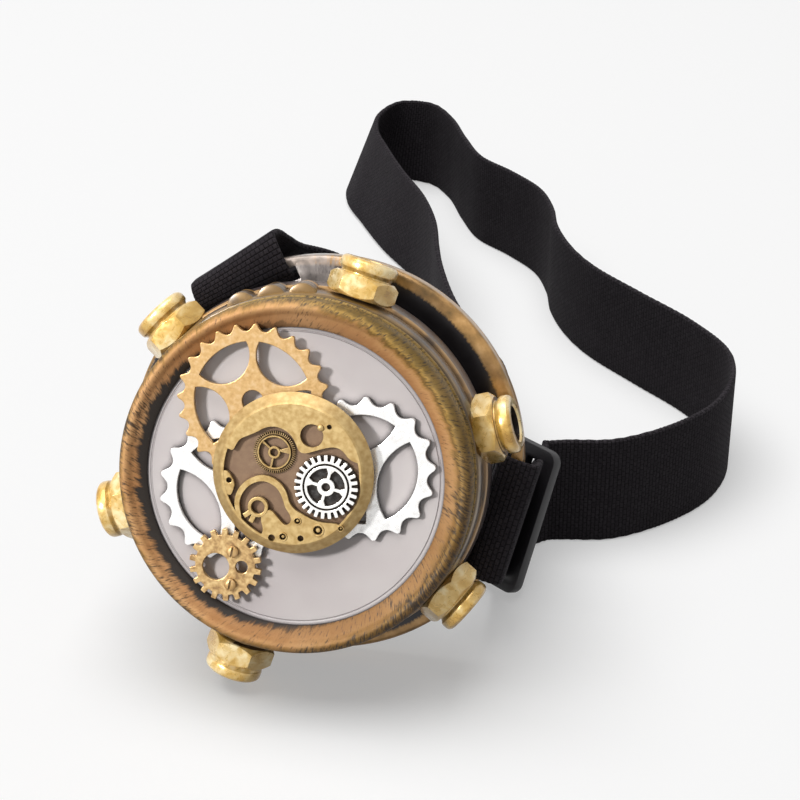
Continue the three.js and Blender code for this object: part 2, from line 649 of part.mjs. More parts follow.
// A stop beside a strap slot, by its distance from the axis and its place along it.
// The strap may be drawn narrower by its slot, and skewed so that one edge stands further out.
function slotStop(angleDeg, distance, axial, side, share = 1, skewDeg = 0) {
  const a = radians(angleDeg);
  const place = new THREE.Vector3(distance * Math.cos(a), distance * Math.sin(a), axial);
  const turn = a + radians(90 - side * skewDeg);
  const across = new THREE.Vector3(Math.cos(turn), Math.sin(turn), 0).multiplyScalar(side);
  return [place.applyMatrix4(eyepiece.matrixWorld), across.transformDirection(eyepiece.matrixWorld), share];
}

// The stops round the bar outside a slot, from behind the slot to behind the rim's edge.
function barLoop(angleDeg, side, share = 1, skewDeg = 0) {
  const front = RIM_FRONT + layerGap;
  const outside = RIM_R + layerGap + SKEW_SLACK * skewDeg;
  return [
    [slotMiddle, rimBack - 1.5, 0],
    [slotMiddle, RIM_FRONT - 1.0, 0],
    [slotMiddle + 0.5, front - 0.4, 0.1],
    [slotMiddle + 1.6, front + 0.2, 0.3],
    [outside - 1.8, front + 0.2, 0.8],
    [outside - 0.4, front - 0.5, 1],
    [outside, RIM_FRONT - 1.2, 1],
    [outside, rimBack - 1.0, 0.8],
  ].map(([distance, axial, skew]) => slotStop(angleDeg, distance, axial, side, share, skew * skewDeg));
}

// A stop in the slider, by its place along the strap and its height over the plate.
function sliderStop(along, height) {
  const place = new THREE.Vector3(along, 0, height).multiplyScalar(routeScale).applyMatrix4(sliderMatrix);
  return [place, sliderY.clone()];
}

// A stop of the free strap, standing on its edge: plan place and lean of its top edge.
function standing(x, y, leanX = 0) {
  const across = new THREE.Vector3(leanX, 0, STRAP_WIDTH).normalize();
  const heel = (STRAP_THICKNESS / 2) * Math.abs(across.x) * LEAN_HEEL;
  const rise = (STRAP_WIDTH / 2) * across.z + heel;
  return [new THREE.Vector3(x * routeScale, y * routeScale, rise), across];
}

function crossing(place, across, share = 1) {
  const point = new THREE.Vector3(...place).multiplyScalar(routeScale);
  return [point, new THREE.Vector3(...across).normalize(), share];
}

const [leftSlotDeg, rightSlotDeg] = SLOT_ANGLES_DEG;
const strapStops = [
  slotStop(leftSlotDeg, slotMiddle + 2.1, rimBack - 14, -1, SLOT_GATHER),
  slotStop(leftSlotDeg, slotMiddle + 0.9, rimBack - 8, -1, SLOT_GATHER),
  ...barLoop(leftSlotDeg, -1, SLOT_GATHER, SLOT_SKEW_DEG),
  slotStop(leftSlotDeg, RIM_R + 0.1, rimBack - 7, -1, SLOT_GATHER, SLOT_SKEW_DEG / 2),
  slotStop(leftSlotDeg, RIM_R - 1.2, rimBack - 14, -1, SLOT_GATHER),
  crossing([-12, 62, 57], [0.86, 0.1, 0.5], 0.86),
  crossing([0, 69, 43], [0.76, 0.03, 0.65], 0.95),
  crossing([13, 71, 28], [0.55, 0.02, 0.83]),
  crossing([23, 72.6, 18.2], [0.24, 0.03, 0.97]),
  crossing([28.4, 76.4, 13.9], [0.08, 0.02, 0.99]),
  crossing([29.9, 80.4, 12.7], [0.02, 0.01, 1.0]),
  standing(29.4, 84),
  standing(26.8, 92),
  standing(20.6, 103),
  standing(12.4, 119),
  standing(6.2, 137),
  standing(3.5, 148),
  standing(0, 162, 1),
  standing(-5.8, 176.6, 2),
  standing(-15.5, 192.5, 5),
  standing(-23.4, 207.8, 7),
  standing(-29.4, 221, 9),
  standing(-30.6, 232, 9),
  standing(-24.5, 240, 5),
  standing(-13, 239.4, 1),
  standing(-5.8, 230.6),
  standing(0.3, 216.6),
  standing(6.5, 204.6),
  standing(16, 196),
  standing(24.5, 186.4),
  standing(29.0, 175.3),
  standing(31.3, 164.7),
  standing(36.2, 153.0),
  standing(42.8, 143.2),
  standing(55.0, 131.1),
  standing(67.9, 118.7),
  standing(76.5, 106.4),
  standing(78.3, 95),
  standing(76.2, 84.7),
  standing(72.1, 77.0),
  standing(63.5, 67.9),
  standing(54.6, 62.2),
  standing(45, 60.3),
  standing(39, 60.2),
  crossing([35, 57.6, 12.7], [0.05, 0.08, 0.99]),
  sliderStop(-2.6, -6.0),
  sliderStop(0.9, -3.9),
  sliderStop(2.9, -2.3),
  sliderStop(4.4, 0),
  sliderStop(6.0, 2.3),
  ...barLoop(rightSlotDeg, 1).reverse(),
  sliderStop(1.6, 3.4),
  sliderStop(-1.0, 2.45),
  sliderStop(-3.1, 1.9),
  sliderStop(-4.0, 0),
  sliderStop(-3.2, -2.0),
  sliderStop(-1.0, -2.5),
];

function ribbon(stops, width, thickness) {
  const line = new THREE.CatmullRomCurve3(stops.map(([place]) => place), false, "centripetal");
  const spread = new THREE.CatmullRomCurve3(stops.map(([, across]) => across), false, "catmullrom", 0.5);
  const shares = new THREE.CatmullRomCurve3(stops.map(([, , share = 1]) => new THREE.Vector3(share, 0, 0)));
  const count = (stops.length - 1) * STRAP_STEPS_PER_POINT;
  const places = [];
  for (let i = 0; i <= count; i++) {
    const t = i / count;
    const middle = line.getPoint(t);
    const along = line.getTangent(t);
    const across = spread.getPoint(t);
    across.addScaledVector(along, -across.dot(along)).setLength((shares.getPoint(t).x * width) / 2);
    const through = new THREE.Vector3().crossVectors(along, across).setLength(thickness / 2);
    for (const [a, b] of [[-1, -1], [1, -1], [1, 1], [-1, 1]]) {
      const corner = middle.clone().addScaledVector(across, a).addScaledVector(through, b);
      places.push(corner.x, corner.y, corner.z);
    }
  }
  const faces = [0, 2, 1, 0, 3, 2];
  for (let i = 0; i < count; i++) {
    for (let k = 0; k < 4; k++) {
      const here = 4 * i + k;
      const next = 4 * i + ((k + 1) % 4);
      faces.push(here, next, next + 4, here, next + 4, here + 4);
    }
  }
  const last = 4 * count;
  faces.push(last, last + 1, last + 2, last, last + 2, last + 3);
  const geometry = new THREE.BufferGeometry();
  geometry.setAttribute("position", new THREE.BufferAttribute(new Float32Array(places), 3));
  geometry.setIndex(faces);
  return geometry;
}

// Assembly
eyepiece.add(part("eyecup_body", eyecupBody(), blackedCopper));
eyepiece.add(part("rear_rim", rearRim(), antiqueCopper));
eyepiece.add(part("front_bezel", frontBezel(), antiqueCopper));
eyepiece.add(part("lens", lensDisc(), clearLens));
NUT_ANGLES_DEG.forEach((angle, i) => {
  const nut = hexNut().translate([0, 0, NUT_SEAT_TOP_R + NUT_RAISES[i] + SEAT_GAP]);
  eyepiece.add(part("hex_nut_" + (i + 1), outward(nut, angle, nutMiddle), goldPaint));
});

const cogs = new THREE.Group();
cogs.scale.set(faceScale, faceScale, 1);
eyepiece.add(cogs);
const at = (made, [x, y]) => made.translate([x, y, 0]);
const silverLeft = sprocket(SILVER_SPROCKET, silverLevel, 1.0, 30);
const silverRight = sprocket(SILVER_SPROCKET, silverLevel, 6.5, 46.5);
cogs.add(part("silver_gear_left", at(silverLeft, SILVER_LEFT_AT), silver));
cogs.add(part("silver_gear_right", at(silverRight, SILVER_RIGHT_AT), silver));
cogs.add(part("brass_gear", at(sprocket(BRASS_SPROCKET, brassLevel, 1.0, 21), BRASS_AT), brass));
cogs.add(part("small_gear", at(smallGear(), SMALL_GEAR_AT), bronze));
GEAR_SCREWS_AT.forEach(([x, y], i) => {
  const place = [SMALL_GEAR_AT[0] + x, SMALL_GEAR_AT[1] + y];
  cogs.add(part("gear_screw_" + (i + 1), at(gearScrew(), place), brass));
});

const onPlate = ([x, y]) => [PLATE_AT[0] + x, PLATE_AT[1] + y];
cogs.add(part("movement_plate", at(movementPlate(), PLATE_AT), brass));
cogs.add(part("train_bridge", at(trainBridge(), PLATE_AT), brass));
cogs.add(part("lower_bridge", at(lowerBridge(), PLATE_AT), brass));
cogs.add(part("train_wheel", at(trainWheel(), onPlate(WHEEL_AT)), bronze));
cogs.add(part("movement_gear", at(movementGear(), onPlate(MOVEMENT_GEAR_AT)), silver));

sliderPlace.add(part("strap_slider", strapSlider(), blackPlastic));

const monocle = new THREE.Group();
monocle.add(eyepiece);
monocle.add(sliderPlace);
monocle.add(part("strap", solid(ribbon(strapStops, STRAP_WIDTH, STRAP_THICKNESS)), blackElastic));

// The part's origin is at the middle of its footprint on the table.
const box = new THREE.Box3().setFromObject(monocle, true);
monocle.position.set(-(box.min.x + box.max.x) / 2, -(box.min.y + box.max.y) / 2, -box.min.z);

export default monocle;
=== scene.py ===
import json
import math

import bpy
from mathutils import Euler, Matrix, Vector

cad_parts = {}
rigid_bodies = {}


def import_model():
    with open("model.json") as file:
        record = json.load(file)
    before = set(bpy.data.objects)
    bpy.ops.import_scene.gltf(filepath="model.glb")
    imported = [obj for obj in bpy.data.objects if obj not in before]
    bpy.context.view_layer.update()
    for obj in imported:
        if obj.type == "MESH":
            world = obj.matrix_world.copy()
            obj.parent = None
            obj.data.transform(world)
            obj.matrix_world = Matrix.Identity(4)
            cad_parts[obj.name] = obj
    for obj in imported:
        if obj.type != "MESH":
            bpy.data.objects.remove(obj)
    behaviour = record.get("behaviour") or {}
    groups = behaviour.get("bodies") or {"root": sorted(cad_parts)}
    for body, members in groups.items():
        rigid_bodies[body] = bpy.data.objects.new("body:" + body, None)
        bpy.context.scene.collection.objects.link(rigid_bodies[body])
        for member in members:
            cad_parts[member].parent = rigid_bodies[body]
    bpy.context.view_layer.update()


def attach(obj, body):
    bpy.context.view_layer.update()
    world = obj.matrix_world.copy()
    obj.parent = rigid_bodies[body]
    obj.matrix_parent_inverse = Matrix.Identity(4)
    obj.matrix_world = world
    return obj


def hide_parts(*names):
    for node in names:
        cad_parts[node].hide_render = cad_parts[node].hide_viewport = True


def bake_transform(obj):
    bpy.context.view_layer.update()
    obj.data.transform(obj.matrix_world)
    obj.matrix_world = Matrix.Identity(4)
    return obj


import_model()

# Everything is drawn in millimetres and made in metres. Points closer than MERGE become one.
MM = 0.001
MERGE = 2e-6
FINE_STEPS = 192
ROUND_STEPS = 64
SMOOTH_ANGLE = math.radians(32)
PLATE_ANGLE = math.radians(8)

# The eyepiece leans back; its own z axis points out of the lens.
EYE_CENTRE = Vector((-19.227, -115.303, 47.32)) * MM
EYE_TURN = Euler((math.radians(90 - 20.5), 0, 0))
EYEPIECE = Matrix.Translation(EYE_CENTRE) @ EYE_TURN.to_matrix().to_4x4()
PLATE_MIDDLE = (0.4, 1.6, 0)

# Camera of the photograph
CAMERA_PLACE = Vector((56.873, -431.903, 252.024)) * MM
CAMERA_LOOKS = Vector((-0.1504, 0.8529, -0.5))
CAMERA_LENS = 94.5
CAMERA_SENSOR = 36.0


# Hand tools

def pick(piece):
    bpy.ops.object.select_all(action="DESELECT")
    piece.select_set(True)
    bpy.context.view_layer.objects.active = piece


def open_mesh(piece):
    pick(piece)
    bpy.ops.object.mode_set(mode="EDIT")
    bpy.ops.mesh.select_all(action="SELECT")


def close_mesh():
    bpy.ops.mesh.select_all(action="SELECT")
    bpy.ops.mesh.remove_doubles(threshold=MERGE)
    bpy.ops.mesh.normals_make_consistent(inside=False)
    bpy.ops.object.mode_set(mode="OBJECT")


def fix_place(piece, matrix):
    piece.matrix_world = matrix
    pick(piece)
    bpy.ops.object.transform_apply(location=True, rotation=True, scale=True)


def moved(x, y, z):
    return Matrix.Translation(Vector((x, y, z)) * MM)


def drawing(name, outlines, closed=True):
    """A flat drawing on the table, one line for each outline."""
    curve = bpy.data.curves.new(name, "CURVE")
    curve.dimensions = "2D"
    for outline in outlines:
        line = curve.splines.new("POLY")
        line.points.add(len(outline) - 1)
        for point, (x, y) in zip(line.points, outline):
            point.co = (x * MM, y * MM, 0, 1)
        line.use_cyclic_u = closed
    piece = bpy.data.objects.new(name, curve)
    bpy.context.collection.objects.link(piece)
    pick(piece)
    return piece


def cut_plate(name, outlines, bottom, thickness, edge=0.1):
    """A plate cut to its outlines, holes among them, with its edges rounded over."""
    piece = drawing(name, outlines)
    curve = piece.data
    curve.fill_mode = "BOTH"
    curve.extrude = (thickness / 2 - edge) * MM
    curve.bevel_depth = edge * MM
    curve.bevel_resolution = 1
    curve.offset = -edge * MM
    bpy.ops.object.convert(target="MESH")
    piece = bpy.context.object
    open_mesh(piece)
    close_mesh()
    fix_place(piece, moved(0, 0, bottom + thickness / 2))
    return piece


def spun(name, profile, steps=FINE_STEPS):
    """A profile of (radius, height) turned round the z axis. One that begins on the axis ends there too."""
    piece = drawing(name, [profile], closed=profile[0][0] > 0)
    piece.data.dimensions = "3D"
    bpy.ops.object.convert(target="MESH")
    piece = bpy.context.object
    fix_place(piece, Matrix.Rotation(math.pi / 2, 4, "X"))
    open_mesh(piece)
    bpy.ops.mesh.spin(steps=steps, angle=2 * math.pi, center=(0, 0, 0), axis=(0, 0, 1))
    close_mesh()
    return piece


def rod(radius, bottom, top, at=(0, 0), steps=ROUND_STEPS):
    piece = spun("rod", [(0, bottom), (radius, bottom), (radius, top), (0, top)], steps=steps)
    fix_place(piece, moved(*at, 0))
    return piece


def block(width, length, height):
    bpy.ops.object.select_all(action="DESELECT")
    bpy.ops.mesh.primitive_cube_add(size=1)
    made = bpy.context.object
    made.scale = (width * MM, length * MM, height * MM)
    bpy.ops.object.transform_apply(location=False, rotation=False, scale=True)
    return made


def apply(piece, kind, **settings):
    modifier = piece.modifiers.new(kind.lower(), kind)
    for name, value in settings.items():
        setattr(modifier, name, value)
    pick(piece)
    bpy.ops.object.modifier_apply(modifier=modifier.name)


def soften(piece, width, segments=2, angle=30):
    apply(piece, "BEVEL", width=width * MM, segments=segments, limit_method="ANGLE",
          angle_limit=math.radians(angle), miter_outer="MITER_ARC")


def joined(piece, tool, operation):
    """Joins, cuts or keeps in common two solids, and uses the second one up."""
    apply(piece, "BOOLEAN", operation=operation, object=tool, solver="EXACT")
    bpy.data.objects.remove(tool)
    open_mesh(piece)
    bpy.ops.mesh.remove_doubles(threshold=MERGE)
    bpy.ops.object.mode_set(mode="OBJECT")
    return piece


def merged(name, pieces):
    """Several solids in one object."""
    pick(pieces[0])
    for piece in pieces[1:]:
        piece.select_set(True)
    bpy.ops.object.join()
    made = bpy.context.object
    made.name = name
    return made


def copied(piece, name):
    copy = bpy.data.objects.new(name, piece.data.copy())
    bpy.context.collection.objects.link(copy)
    return copy


def ring_points(radius, place=(0, 0), steps=ROUND_STEPS):
    turns = [2 * math.pi * i / steps for i in range(steps)]
    return [(place[0] + radius * math.cos(a), place[1] + radius * math.sin(a)) for a in turns]


def arc_points(centre, radius, from_deg, to_deg, steps):
    turns = [math.radians(from_deg + (to_deg - from_deg) * i / steps) for i in range(steps + 1)]
    return [(centre[0] + radius * math.cos(a), centre[1] + radius * math.sin(a)) for a in turns]


def shifted(points, place):
    return [(x + place[0], y + place[1]) for x, y in points]


def turned(points, turn_deg):
    turn = math.radians(turn_deg)
    c, s = math.cos(turn), math.sin(turn)
    return [(x * c - y * s, x * s + y * c) for x, y in points]


def rounded(points, rounds=2, share=0.25):
    """A closed outline with each corner cut back by a share of its sides, so that it flows."""
    rest = 1 - share
    for _ in range(rounds):
        flowing = []
        for (x0, y0), (x1, y1) in zip(points, points[1:] + points[:1]):
            flowing.append((rest * x0 + share * x1, rest * y0 + share * y1))
            flowing.append((share * x0 + rest * x1, share * y0 + rest * y1))
        points = flowing
    return points


# Material tools

def colour(code):
    """A screen colour such as #c0ffee as linear light."""
    parts = [int(code[i:i + 2], 16) / 255 for i in (1, 3, 5)]
    light = [p / 12.92 if p <= 0.04045 else ((p + 0.055) / 1.055) ** 2.4 for p in parts]
    return (*light, 1.0)


def add(material, kind, *values, stops=(), out=0, **named):
    """Adds a node and gives one of its outputs. Inputs come in their order, or by name with a capital letter
    first, and each is a value, a colour code or another node's output. The other names are settings."""
    tree = material.node_tree
    made = tree.nodes.new("ShaderNode" + kind)
    inputs = dict(enumerate(values))
    for name, value in named.items():
        if name[0].isupper():
            inputs[name.replace("_", " ")] = value
        else:
            setattr(made, name, value)
    for name, value in inputs.items():
        if isinstance(value, bpy.types.NodeSocket):
            tree.links.new(value, made.inputs[name])
        else:
            made.inputs[name].default_value = colour(value) if isinstance(value, str) else value
    if stops:
        ramp = made.color_ramp
        while len(ramp.elements) < len(stops):
            ramp.elements.new(0.5)
        for element, (place, code) in zip(ramp.elements, stops):
            element.position = place
            element.color = colour(code)
    return made.outputs[out]


def new_material(name, **sockets):
    material = bpy.data.materials.new(name)
    material.use_nodes = True
    shader = material.node_tree.nodes["Principled BSDF"]
    for socket, value in sockets.items():
        shader.inputs[socket.replace("_", " ")].default_value = value
    return material


def feed(material, **outputs):
    shader = material.node_tree.nodes["Principled BSDF"]
    for socket, output in outputs.items():
        material.node_tree.links.new(output, shader.inputs[socket.replace("_", " ")])


def finished(material, tint, worn, roughness, raised, strength, depth):
    """Gives a material its colour, a roughness that follows one pattern and a relief from another."""
    rough = add(material, "MapRange", Value=worn, To_Min=roughness[0], To_Max=roughness[1])
    bump = add(material, "Bump", Height=raised, Strength=strength, Distance=depth * MM)
    feed(material, Base_Color=tint, Roughness=rough, Normal=bump)
    return material


def in_mm(material, place):
    return add(material, "VectorMath", place, (1000, 1000, 1000), operation="MULTIPLY")


def object_place(material):
    return add(material, "TexCoord", out="Object")


def eyepiece_place(material):
    """The place in the eyepiece's own frame, in millimetres."""
    place = add(material, "Mapping", Vector=object_place(material), Location=EYE_CENTRE,
                Rotation=EYE_TURN, vector_type="TEXTURE")
    return in_mm(material, place)


def from_axis(material, place):
    """The direction from the eyepiece's axis to a place, and the distance."""
    flat = add(material, "VectorMath", place, (1, 1, 0), operation="MULTIPLY")
    facing = add(material, "VectorMath", flat, operation="NORMALIZE")
    radius = add(material, "VectorMath", flat, operation="LENGTH", out="Value")
    return facing, radius


def bristle_place(material, facing, place, ring_r):
    """A place that runs on along a ring and changes little across it: noise on it gives brush strokes."""
    along = add(material, "VectorMath", facing, (ring_r, ring_r, 0), operation="MULTIPLY")
    slow = add(material, "VectorMath", place, (0.3, 0.3, 0.3), operation="MULTIPLY")
    return add(material, "VectorMath", along, slow, operation="ADD")


def painted_corner_shade(material, tint, reach, from_open, to_shut, most, code):
    """Painted shade: a colour that goes darker where other surfaces stand close, in corners and gaps where
    shade falls.
    """
    corners = add(material, "AmbientOcclusion", Distance=reach * MM, samples=8, out="AO")
    corners = add(material, "MapRange", Value=corners, From_Min=from_open, From_Max=to_shut, To_Max=most)
    return add(material, "MixRGB", Fac=corners, Color1=tint, Color2=code)


def seen_directly(material):
    """One for what the eye sees, also in a mirror or through clear plastic, and nought for other light."""
    path = add(material, "LightPath").node.outputs
    seen = add(material, "Math", path["Is Camera Ray"], path["Is Glossy Ray"], operation="MAXIMUM")
    return add(material, "Math", seen, path["Is Transmission Ray"], operation="MAXIMUM")


# Materials

def bezel_paint():
    """Moulded ABS in black lacquer, dry-brushed with copper paint: copper across the bead, olive gold on its
    outer side with dark strokes between them, and black left by the lens on one side, where it also serves
    as painted shade. The lower right is darkened as painted shade."""
    m = new_material("dry_brushed_copper_paint", Specular_IOR_Level=0.35)
    place = eyepiece_place(m)
    height = add(m, "SeparateXYZ", Vector=place, out="Z")
    facing, radius = from_axis(m, place)
    # Strokes lean over as they go out
    slant = add(m, "Math", radius, 0.024, -0.74, operation="MULTIPLY_ADD")
    slanted = add(m, "VectorRotate", Vector=facing, Angle=slant, rotation_type="Z_AXIS")
    across = bristle_place(m, slanted, place, 32)
    # Bristle marks of 0.3 mm, drawn 0.45 mm wide to show, strokes 2 mm wide and patches of 17 mm
    bristles = add(m, "TexNoise", Vector=across, Scale=2.2, Detail=5.0, Roughness=0.7)
    strokes = add(m, "TexNoise", Vector=across, Scale=0.5, Detail=4.0)
    patches = add(m, "TexNoise", Vector=place, Scale=0.06, Detail=3.0)
    wander = add(m, "Math", bristles, strokes, operation="ADD")
    wander = add(m, "Math", wander, 2.6, -2.6, operation="MULTIPLY_ADD")
    # The brush took more gold to the right, where the outer band is wider
    golden = add(m, "VectorMath", facing, (0.97, 0.05, 0), operation="DOT_PRODUCT", out="Value")
    golden = add(m, "MapRange", Value=golden, From_Min=-0.1, From_Max=0.7, To_Min=-0.85, To_Max=1.35)
    edge = add(m, "Math", radius, wander, operation="ADD")
    banded = add(m, "Math", edge, golden, operation="ADD")
    share = add(m, "MapRange", Value=banded, From_Min=28.0, From_Max=33.4)
    copper = add(m, "ValToRGB", Fac=share, stops=[
        (0.0, "#5f4026"), (0.08, "#8f653e"), (0.35, "#9c6f44"), (0.56, "#a97e50"), (0.68, "#97703c"),
        (0.78, "#6f5428"), (0.88, "#98783a"), (1.0, "#6b5426")])
    light = add(m, "MapRange", Value=patches, From_Min=0.42, From_Max=0.62)
    paler = add(m, "MixRGB", Fac=0.2, Color1=copper, Color2="#e6bd8c")
    paint = add(m, "MixRGB", Fac=light, Color1=copper, Color2=paler)
    # Painted shade: the paint goes browner and shows more black to the lower right, the side turned from the
    # light
    brown = add(m, "VectorMath", facing, (0.72, -0.69, 0), operation="DOT_PRODUCT", out="Value")
    brown = add(m, "MapRange", Value=brown, From_Min=0.3, From_Max=0.95, To_Max=0.7)
    paint = add(m, "MixRGB", Fac=brown, Color1=paint, Color2="#694b25")
    behind = add(m, "MapRange", Value=height, From_Min=-2.2, From_Max=-3.6)
    side = add(m, "ValToRGB", Fac=bristles, stops=[(0.35, "#57451f"), (0.5, "#786032"), (0.68, "#8f7640")])
    lip = add(m, "MapRange", Value=height, From_Min=-6.9, From_Max=-7.2)
    side = add(m, "MixRGB", Fac=lip, Color1=side, Color2="#8f7440")
    outer = add(m, "MapRange", Value=radius, From_Min=31.4, From_Max=31.8)
    behind = add(m, "Math", behind, outer, operation="MULTIPLY")
    paint = add(m, "MixRGB", Fac=behind, Color1=paint, Color2=side)
    # The side that the brush did not reach, to the left and below: black left bare there, which also stands
    # for the shade on the inner slope (painted shade)
    missed_and_shaded_side = add(m, "VectorMath", facing, (-0.97, -0.22, 0), operation="DOT_PRODUCT", out="Value")
    reach = add(m, "MapRange", Value=missed_and_shaded_side, From_Min=-0.3, From_Max=0.75, To_Min=27.2, To_Max=29.75)
    reach = add(m, "Math", edge, reach, operation="SUBTRACT")
    bare = add(m, "MapRange", Value=reach, From_Min=0.5, From_Max=-0.4)
    # Thin paint shows black between the bristle marks, most on the gold band; the extra black on the side
    # the brush did not reach and to the lower right is painted shade
    thinner = add(m, "MapRange", Value=missed_and_shaded_side, From_Min=0.3, From_Max=0.9, To_Max=0.08)
    on_gold = add(m, "MapRange", Value=share, From_Min=0.6, From_Max=0.8, To_Max=0.09)
    worn = add(m, "MapRange", Value=patches, From_Min=0.5, From_Max=0.62, To_Max=0.08)
    for more in (on_gold, worn):
        thinner = add(m, "Math", thinner, more, operation="ADD")
    # Painted shade: more black shows to the lower right
    thinner = add(m, "Math", brown, 0.08, thinner, operation="MULTIPLY_ADD")
    thinner = add(m, "Math", bristles, thinner, operation="SUBTRACT")
    thin = add(m, "MapRange", Value=thinner, From_Min=0.4, From_Max=0.28, To_Max=0.9)
    black = add(m, "Math", bare, thin, operation="MAXIMUM")
    final = add(m, "MixRGB", Fac=black, Color1=paint, Color2="#1a120b")
    feed(m, Metallic=add(m, "MapRange", Value=black, To_Min=0.35, To_Max=0.0))
    return finished(m, final, bristles, (0.5, 0.68), bristles, strength=0.4, depth=0.2)


def cup_paint():
    """Moulded ABS in gloss black, with copper and gold put on its rings by rubbing: streaky brown and gold
    bands along the tube, a grey shoulder and a shiny black waist. The shoulder's grey is painted sheen, the
    white surroundings mirrored in the gloss black."""
    m = new_material("gloss_black_with_rubbed_gold", Metallic=0.3, Coat_Weight=0.4, Coat_Roughness=0.18)
    place = eyepiece_place(m)
    height = add(m, "SeparateXYZ", Vector=place, out="Z")
    # Rubbed streaks 0.5 mm wide that run round the tube, and bare patches of 6 mm
    streaky = add(m, "VectorMath", place, (0.09, 0.09, 1.3), operation="MULTIPLY")
    rubbing = add(m, "TexNoise", Vector=streaky, Scale=1.5, Detail=4.0)
    patches = add(m, "TexNoise", Vector=place, Scale=0.16, Detail=4.0)
    wander = add(m, "Math", rubbing, 1.0, -0.5, operation="MULTIPLY_ADD")
    along = add(m, "Math", height, wander, operation="ADD")
    share = add(m, "MapRange", Value=along, From_Min=-28.0, From_Max=-8.0)
    # Painted sheen: the grey stops at 0.52 and 0.6 stand for the shoulder's gloss black mirroring the white
    # surroundings
    bands = add(m, "ValToRGB", Fac=share, stops=[
        (0.0, "#120f11"), (0.45, "#151113"), (0.52, "#2f272a"), (0.6, "#483c3b"), (0.68, "#543c25"),
        (0.73, "#b0874a"), (0.755, "#946e39"), (0.775, "#17110f"), (0.8, "#2b2118"), (0.83, "#6d5231"),
        (0.9, "#4c3a28"), (0.96, "#8a6a35"), (1.0, "#1f1710")])
    bare = add(m, "MapRange", Value=patches, From_Min=0.5, From_Max=0.64, To_Max=0.7)
    final = add(m, "MixRGB", Fac=bare, Color1=bands, Color2="#1d1614")
    return finished(m, final, rubbing, (0.2, 0.5), rubbing, strength=0.25, depth=0.2)


def rim_paint():
    """Moulded ABS rim with gold-copper paint wiped over black: a warm satin edge, a ragged border where the
    black face begins, and a grey patch at the top that is painted sheen, the light mirrored in the gloss."""
    m = new_material("wiped_gold_paint", Metallic=0.5, Coat_Weight=0.4, Coat_Roughness=0.15)
    place = eyepiece_place(m)
    facing, radius = from_axis(m, place)
    # Wiped marks 1 mm wide, and bristle marks of 0.8 mm at the border
    stretched = add(m, "VectorMath", place, (0.4, 0.4, 1.0), operation="MULTIPLY")
    wiping = add(m, "TexNoise", Vector=stretched, Scale=0.9, Detail=5.0)
    gold = add(m, "ValToRGB", Fac=wiping, stops=[
        (0.3, "#755a2f"), (0.44, "#94703d"), (0.56, "#a8804a"), (0.72, "#c09862")])
    across = bristle_place(m, facing, place, 38)
    bristles = add(m, "TexNoise", Vector=across, Scale=1.3, Detail=5.0, Roughness=0.65)
    wander = add(m, "Math", bristles, 1.4, -0.7, operation="MULTIPLY_ADD")
    border = add(m, "Math", radius, wander, operation="ADD")
    black = add(m, "MapRange", Value=border, From_Min=37.5, From_Max=37.0)
    # Painted sheen: a grey patch at the top stands for the light mirrored in the gloss
    painted_sheen_top = add(m, "VectorMath", facing, (-0.18, 0.98, 0), operation="DOT_PRODUCT", out="Value")
    painted_sheen_top = add(m, "Math", wander, 0.085, painted_sheen_top, operation="MULTIPLY_ADD")
    painted_sheen_top = add(m, "MapRange", Value=painted_sheen_top, From_Min=0.955, From_Max=0.985, To_Max=0.85)
    grey = add(m, "ValToRGB", Fac=wiping, stops=[(0.35, "#6f6864"), (0.6, "#958c87"), (0.75, "#b4aca6")])
    final = add(m, "MixRGB", Fac=black, Color1=gold, Color2="#151012")
    final = add(m, "MixRGB", Fac=painted_sheen_top, Color1=final, Color2=grey)
    return finished(m, final, wiping, (0.22, 0.5), wiping, strength=0.25, depth=0.2)


def nut_paint():
    """Moulded ABS nut in thick pale gold paint: smooth pooled faces with a few brush marks along them."""
    m = new_material("thick_pale_gold_paint", Metallic=0.45, Coat_Weight=0.6, Coat_Roughness=0.12)
    place = eyepiece_place(m)
    # Pools of paint 6 mm across and brush marks 1.2 mm wide
    pools = add(m, "TexNoise", Vector=place, Scale=0.16, Detail=2.0)
    brushed = add(m, "VectorMath", place, (1.0, 1.0, 0.25), operation="MULTIPLY")
    marks = add(m, "TexNoise", Vector=brushed, Scale=0.8, Detail=3.0, Distortion=0.4)
    mixed = add(m, "Math", pools, 0.65, operation="MULTIPLY")
    mixed = add(m, "Math", marks, 0.35, mixed, operation="MULTIPLY_ADD")
    gold = add(m, "ValToRGB", Fac=mixed, stops=[
        (0.32, "#ab8134"), (0.44, "#c9a04d"), (0.52, "#dcba74"), (0.62, "#f1dcaa")])
    return finished(m, gold, marks, (0.18, 0.4), mixed, strength=0.25, depth=0.5)


def cog_metal(name, dark, middle, light, metallic, rough_low, rough_high):
    """Die-cut metal, plated or antiqued and lightly tumbled: satin, with faint cloudy staining."""
    m = new_material(name, Metallic=metallic)
    place = in_mm(m, object_place(m))
    # Clouds 0.9 mm across and grit of 0.3 mm
    clouds = add(m, "TexNoise", Vector=place, Scale=1.1, Detail=6.0)
    grit = add(m, "TexNoise", Vector=place, Scale=3.0, Detail=2.0)
    tint = add(m, "ValToRGB", Fac=clouds, stops=[(0.32, dark), (0.5, middle), (0.68, light)])
    # Painted shade: darker where other surfaces stand close, in slots, gaps and corners
    tint = painted_corner_shade(m, tint, reach=0.5, from_open=0.7, to_shut=0.4, most=0.85, code="#20160d")
    polish = add(m, "MapRange", Value=clouds, From_Min=0.3, From_Max=0.7)
    return finished(m, tint, polish, (rough_high, rough_low), grit, strength=0.12, depth=0.1)


# The stain is polished off beyond this radius
STAIN_REACH = 12.7


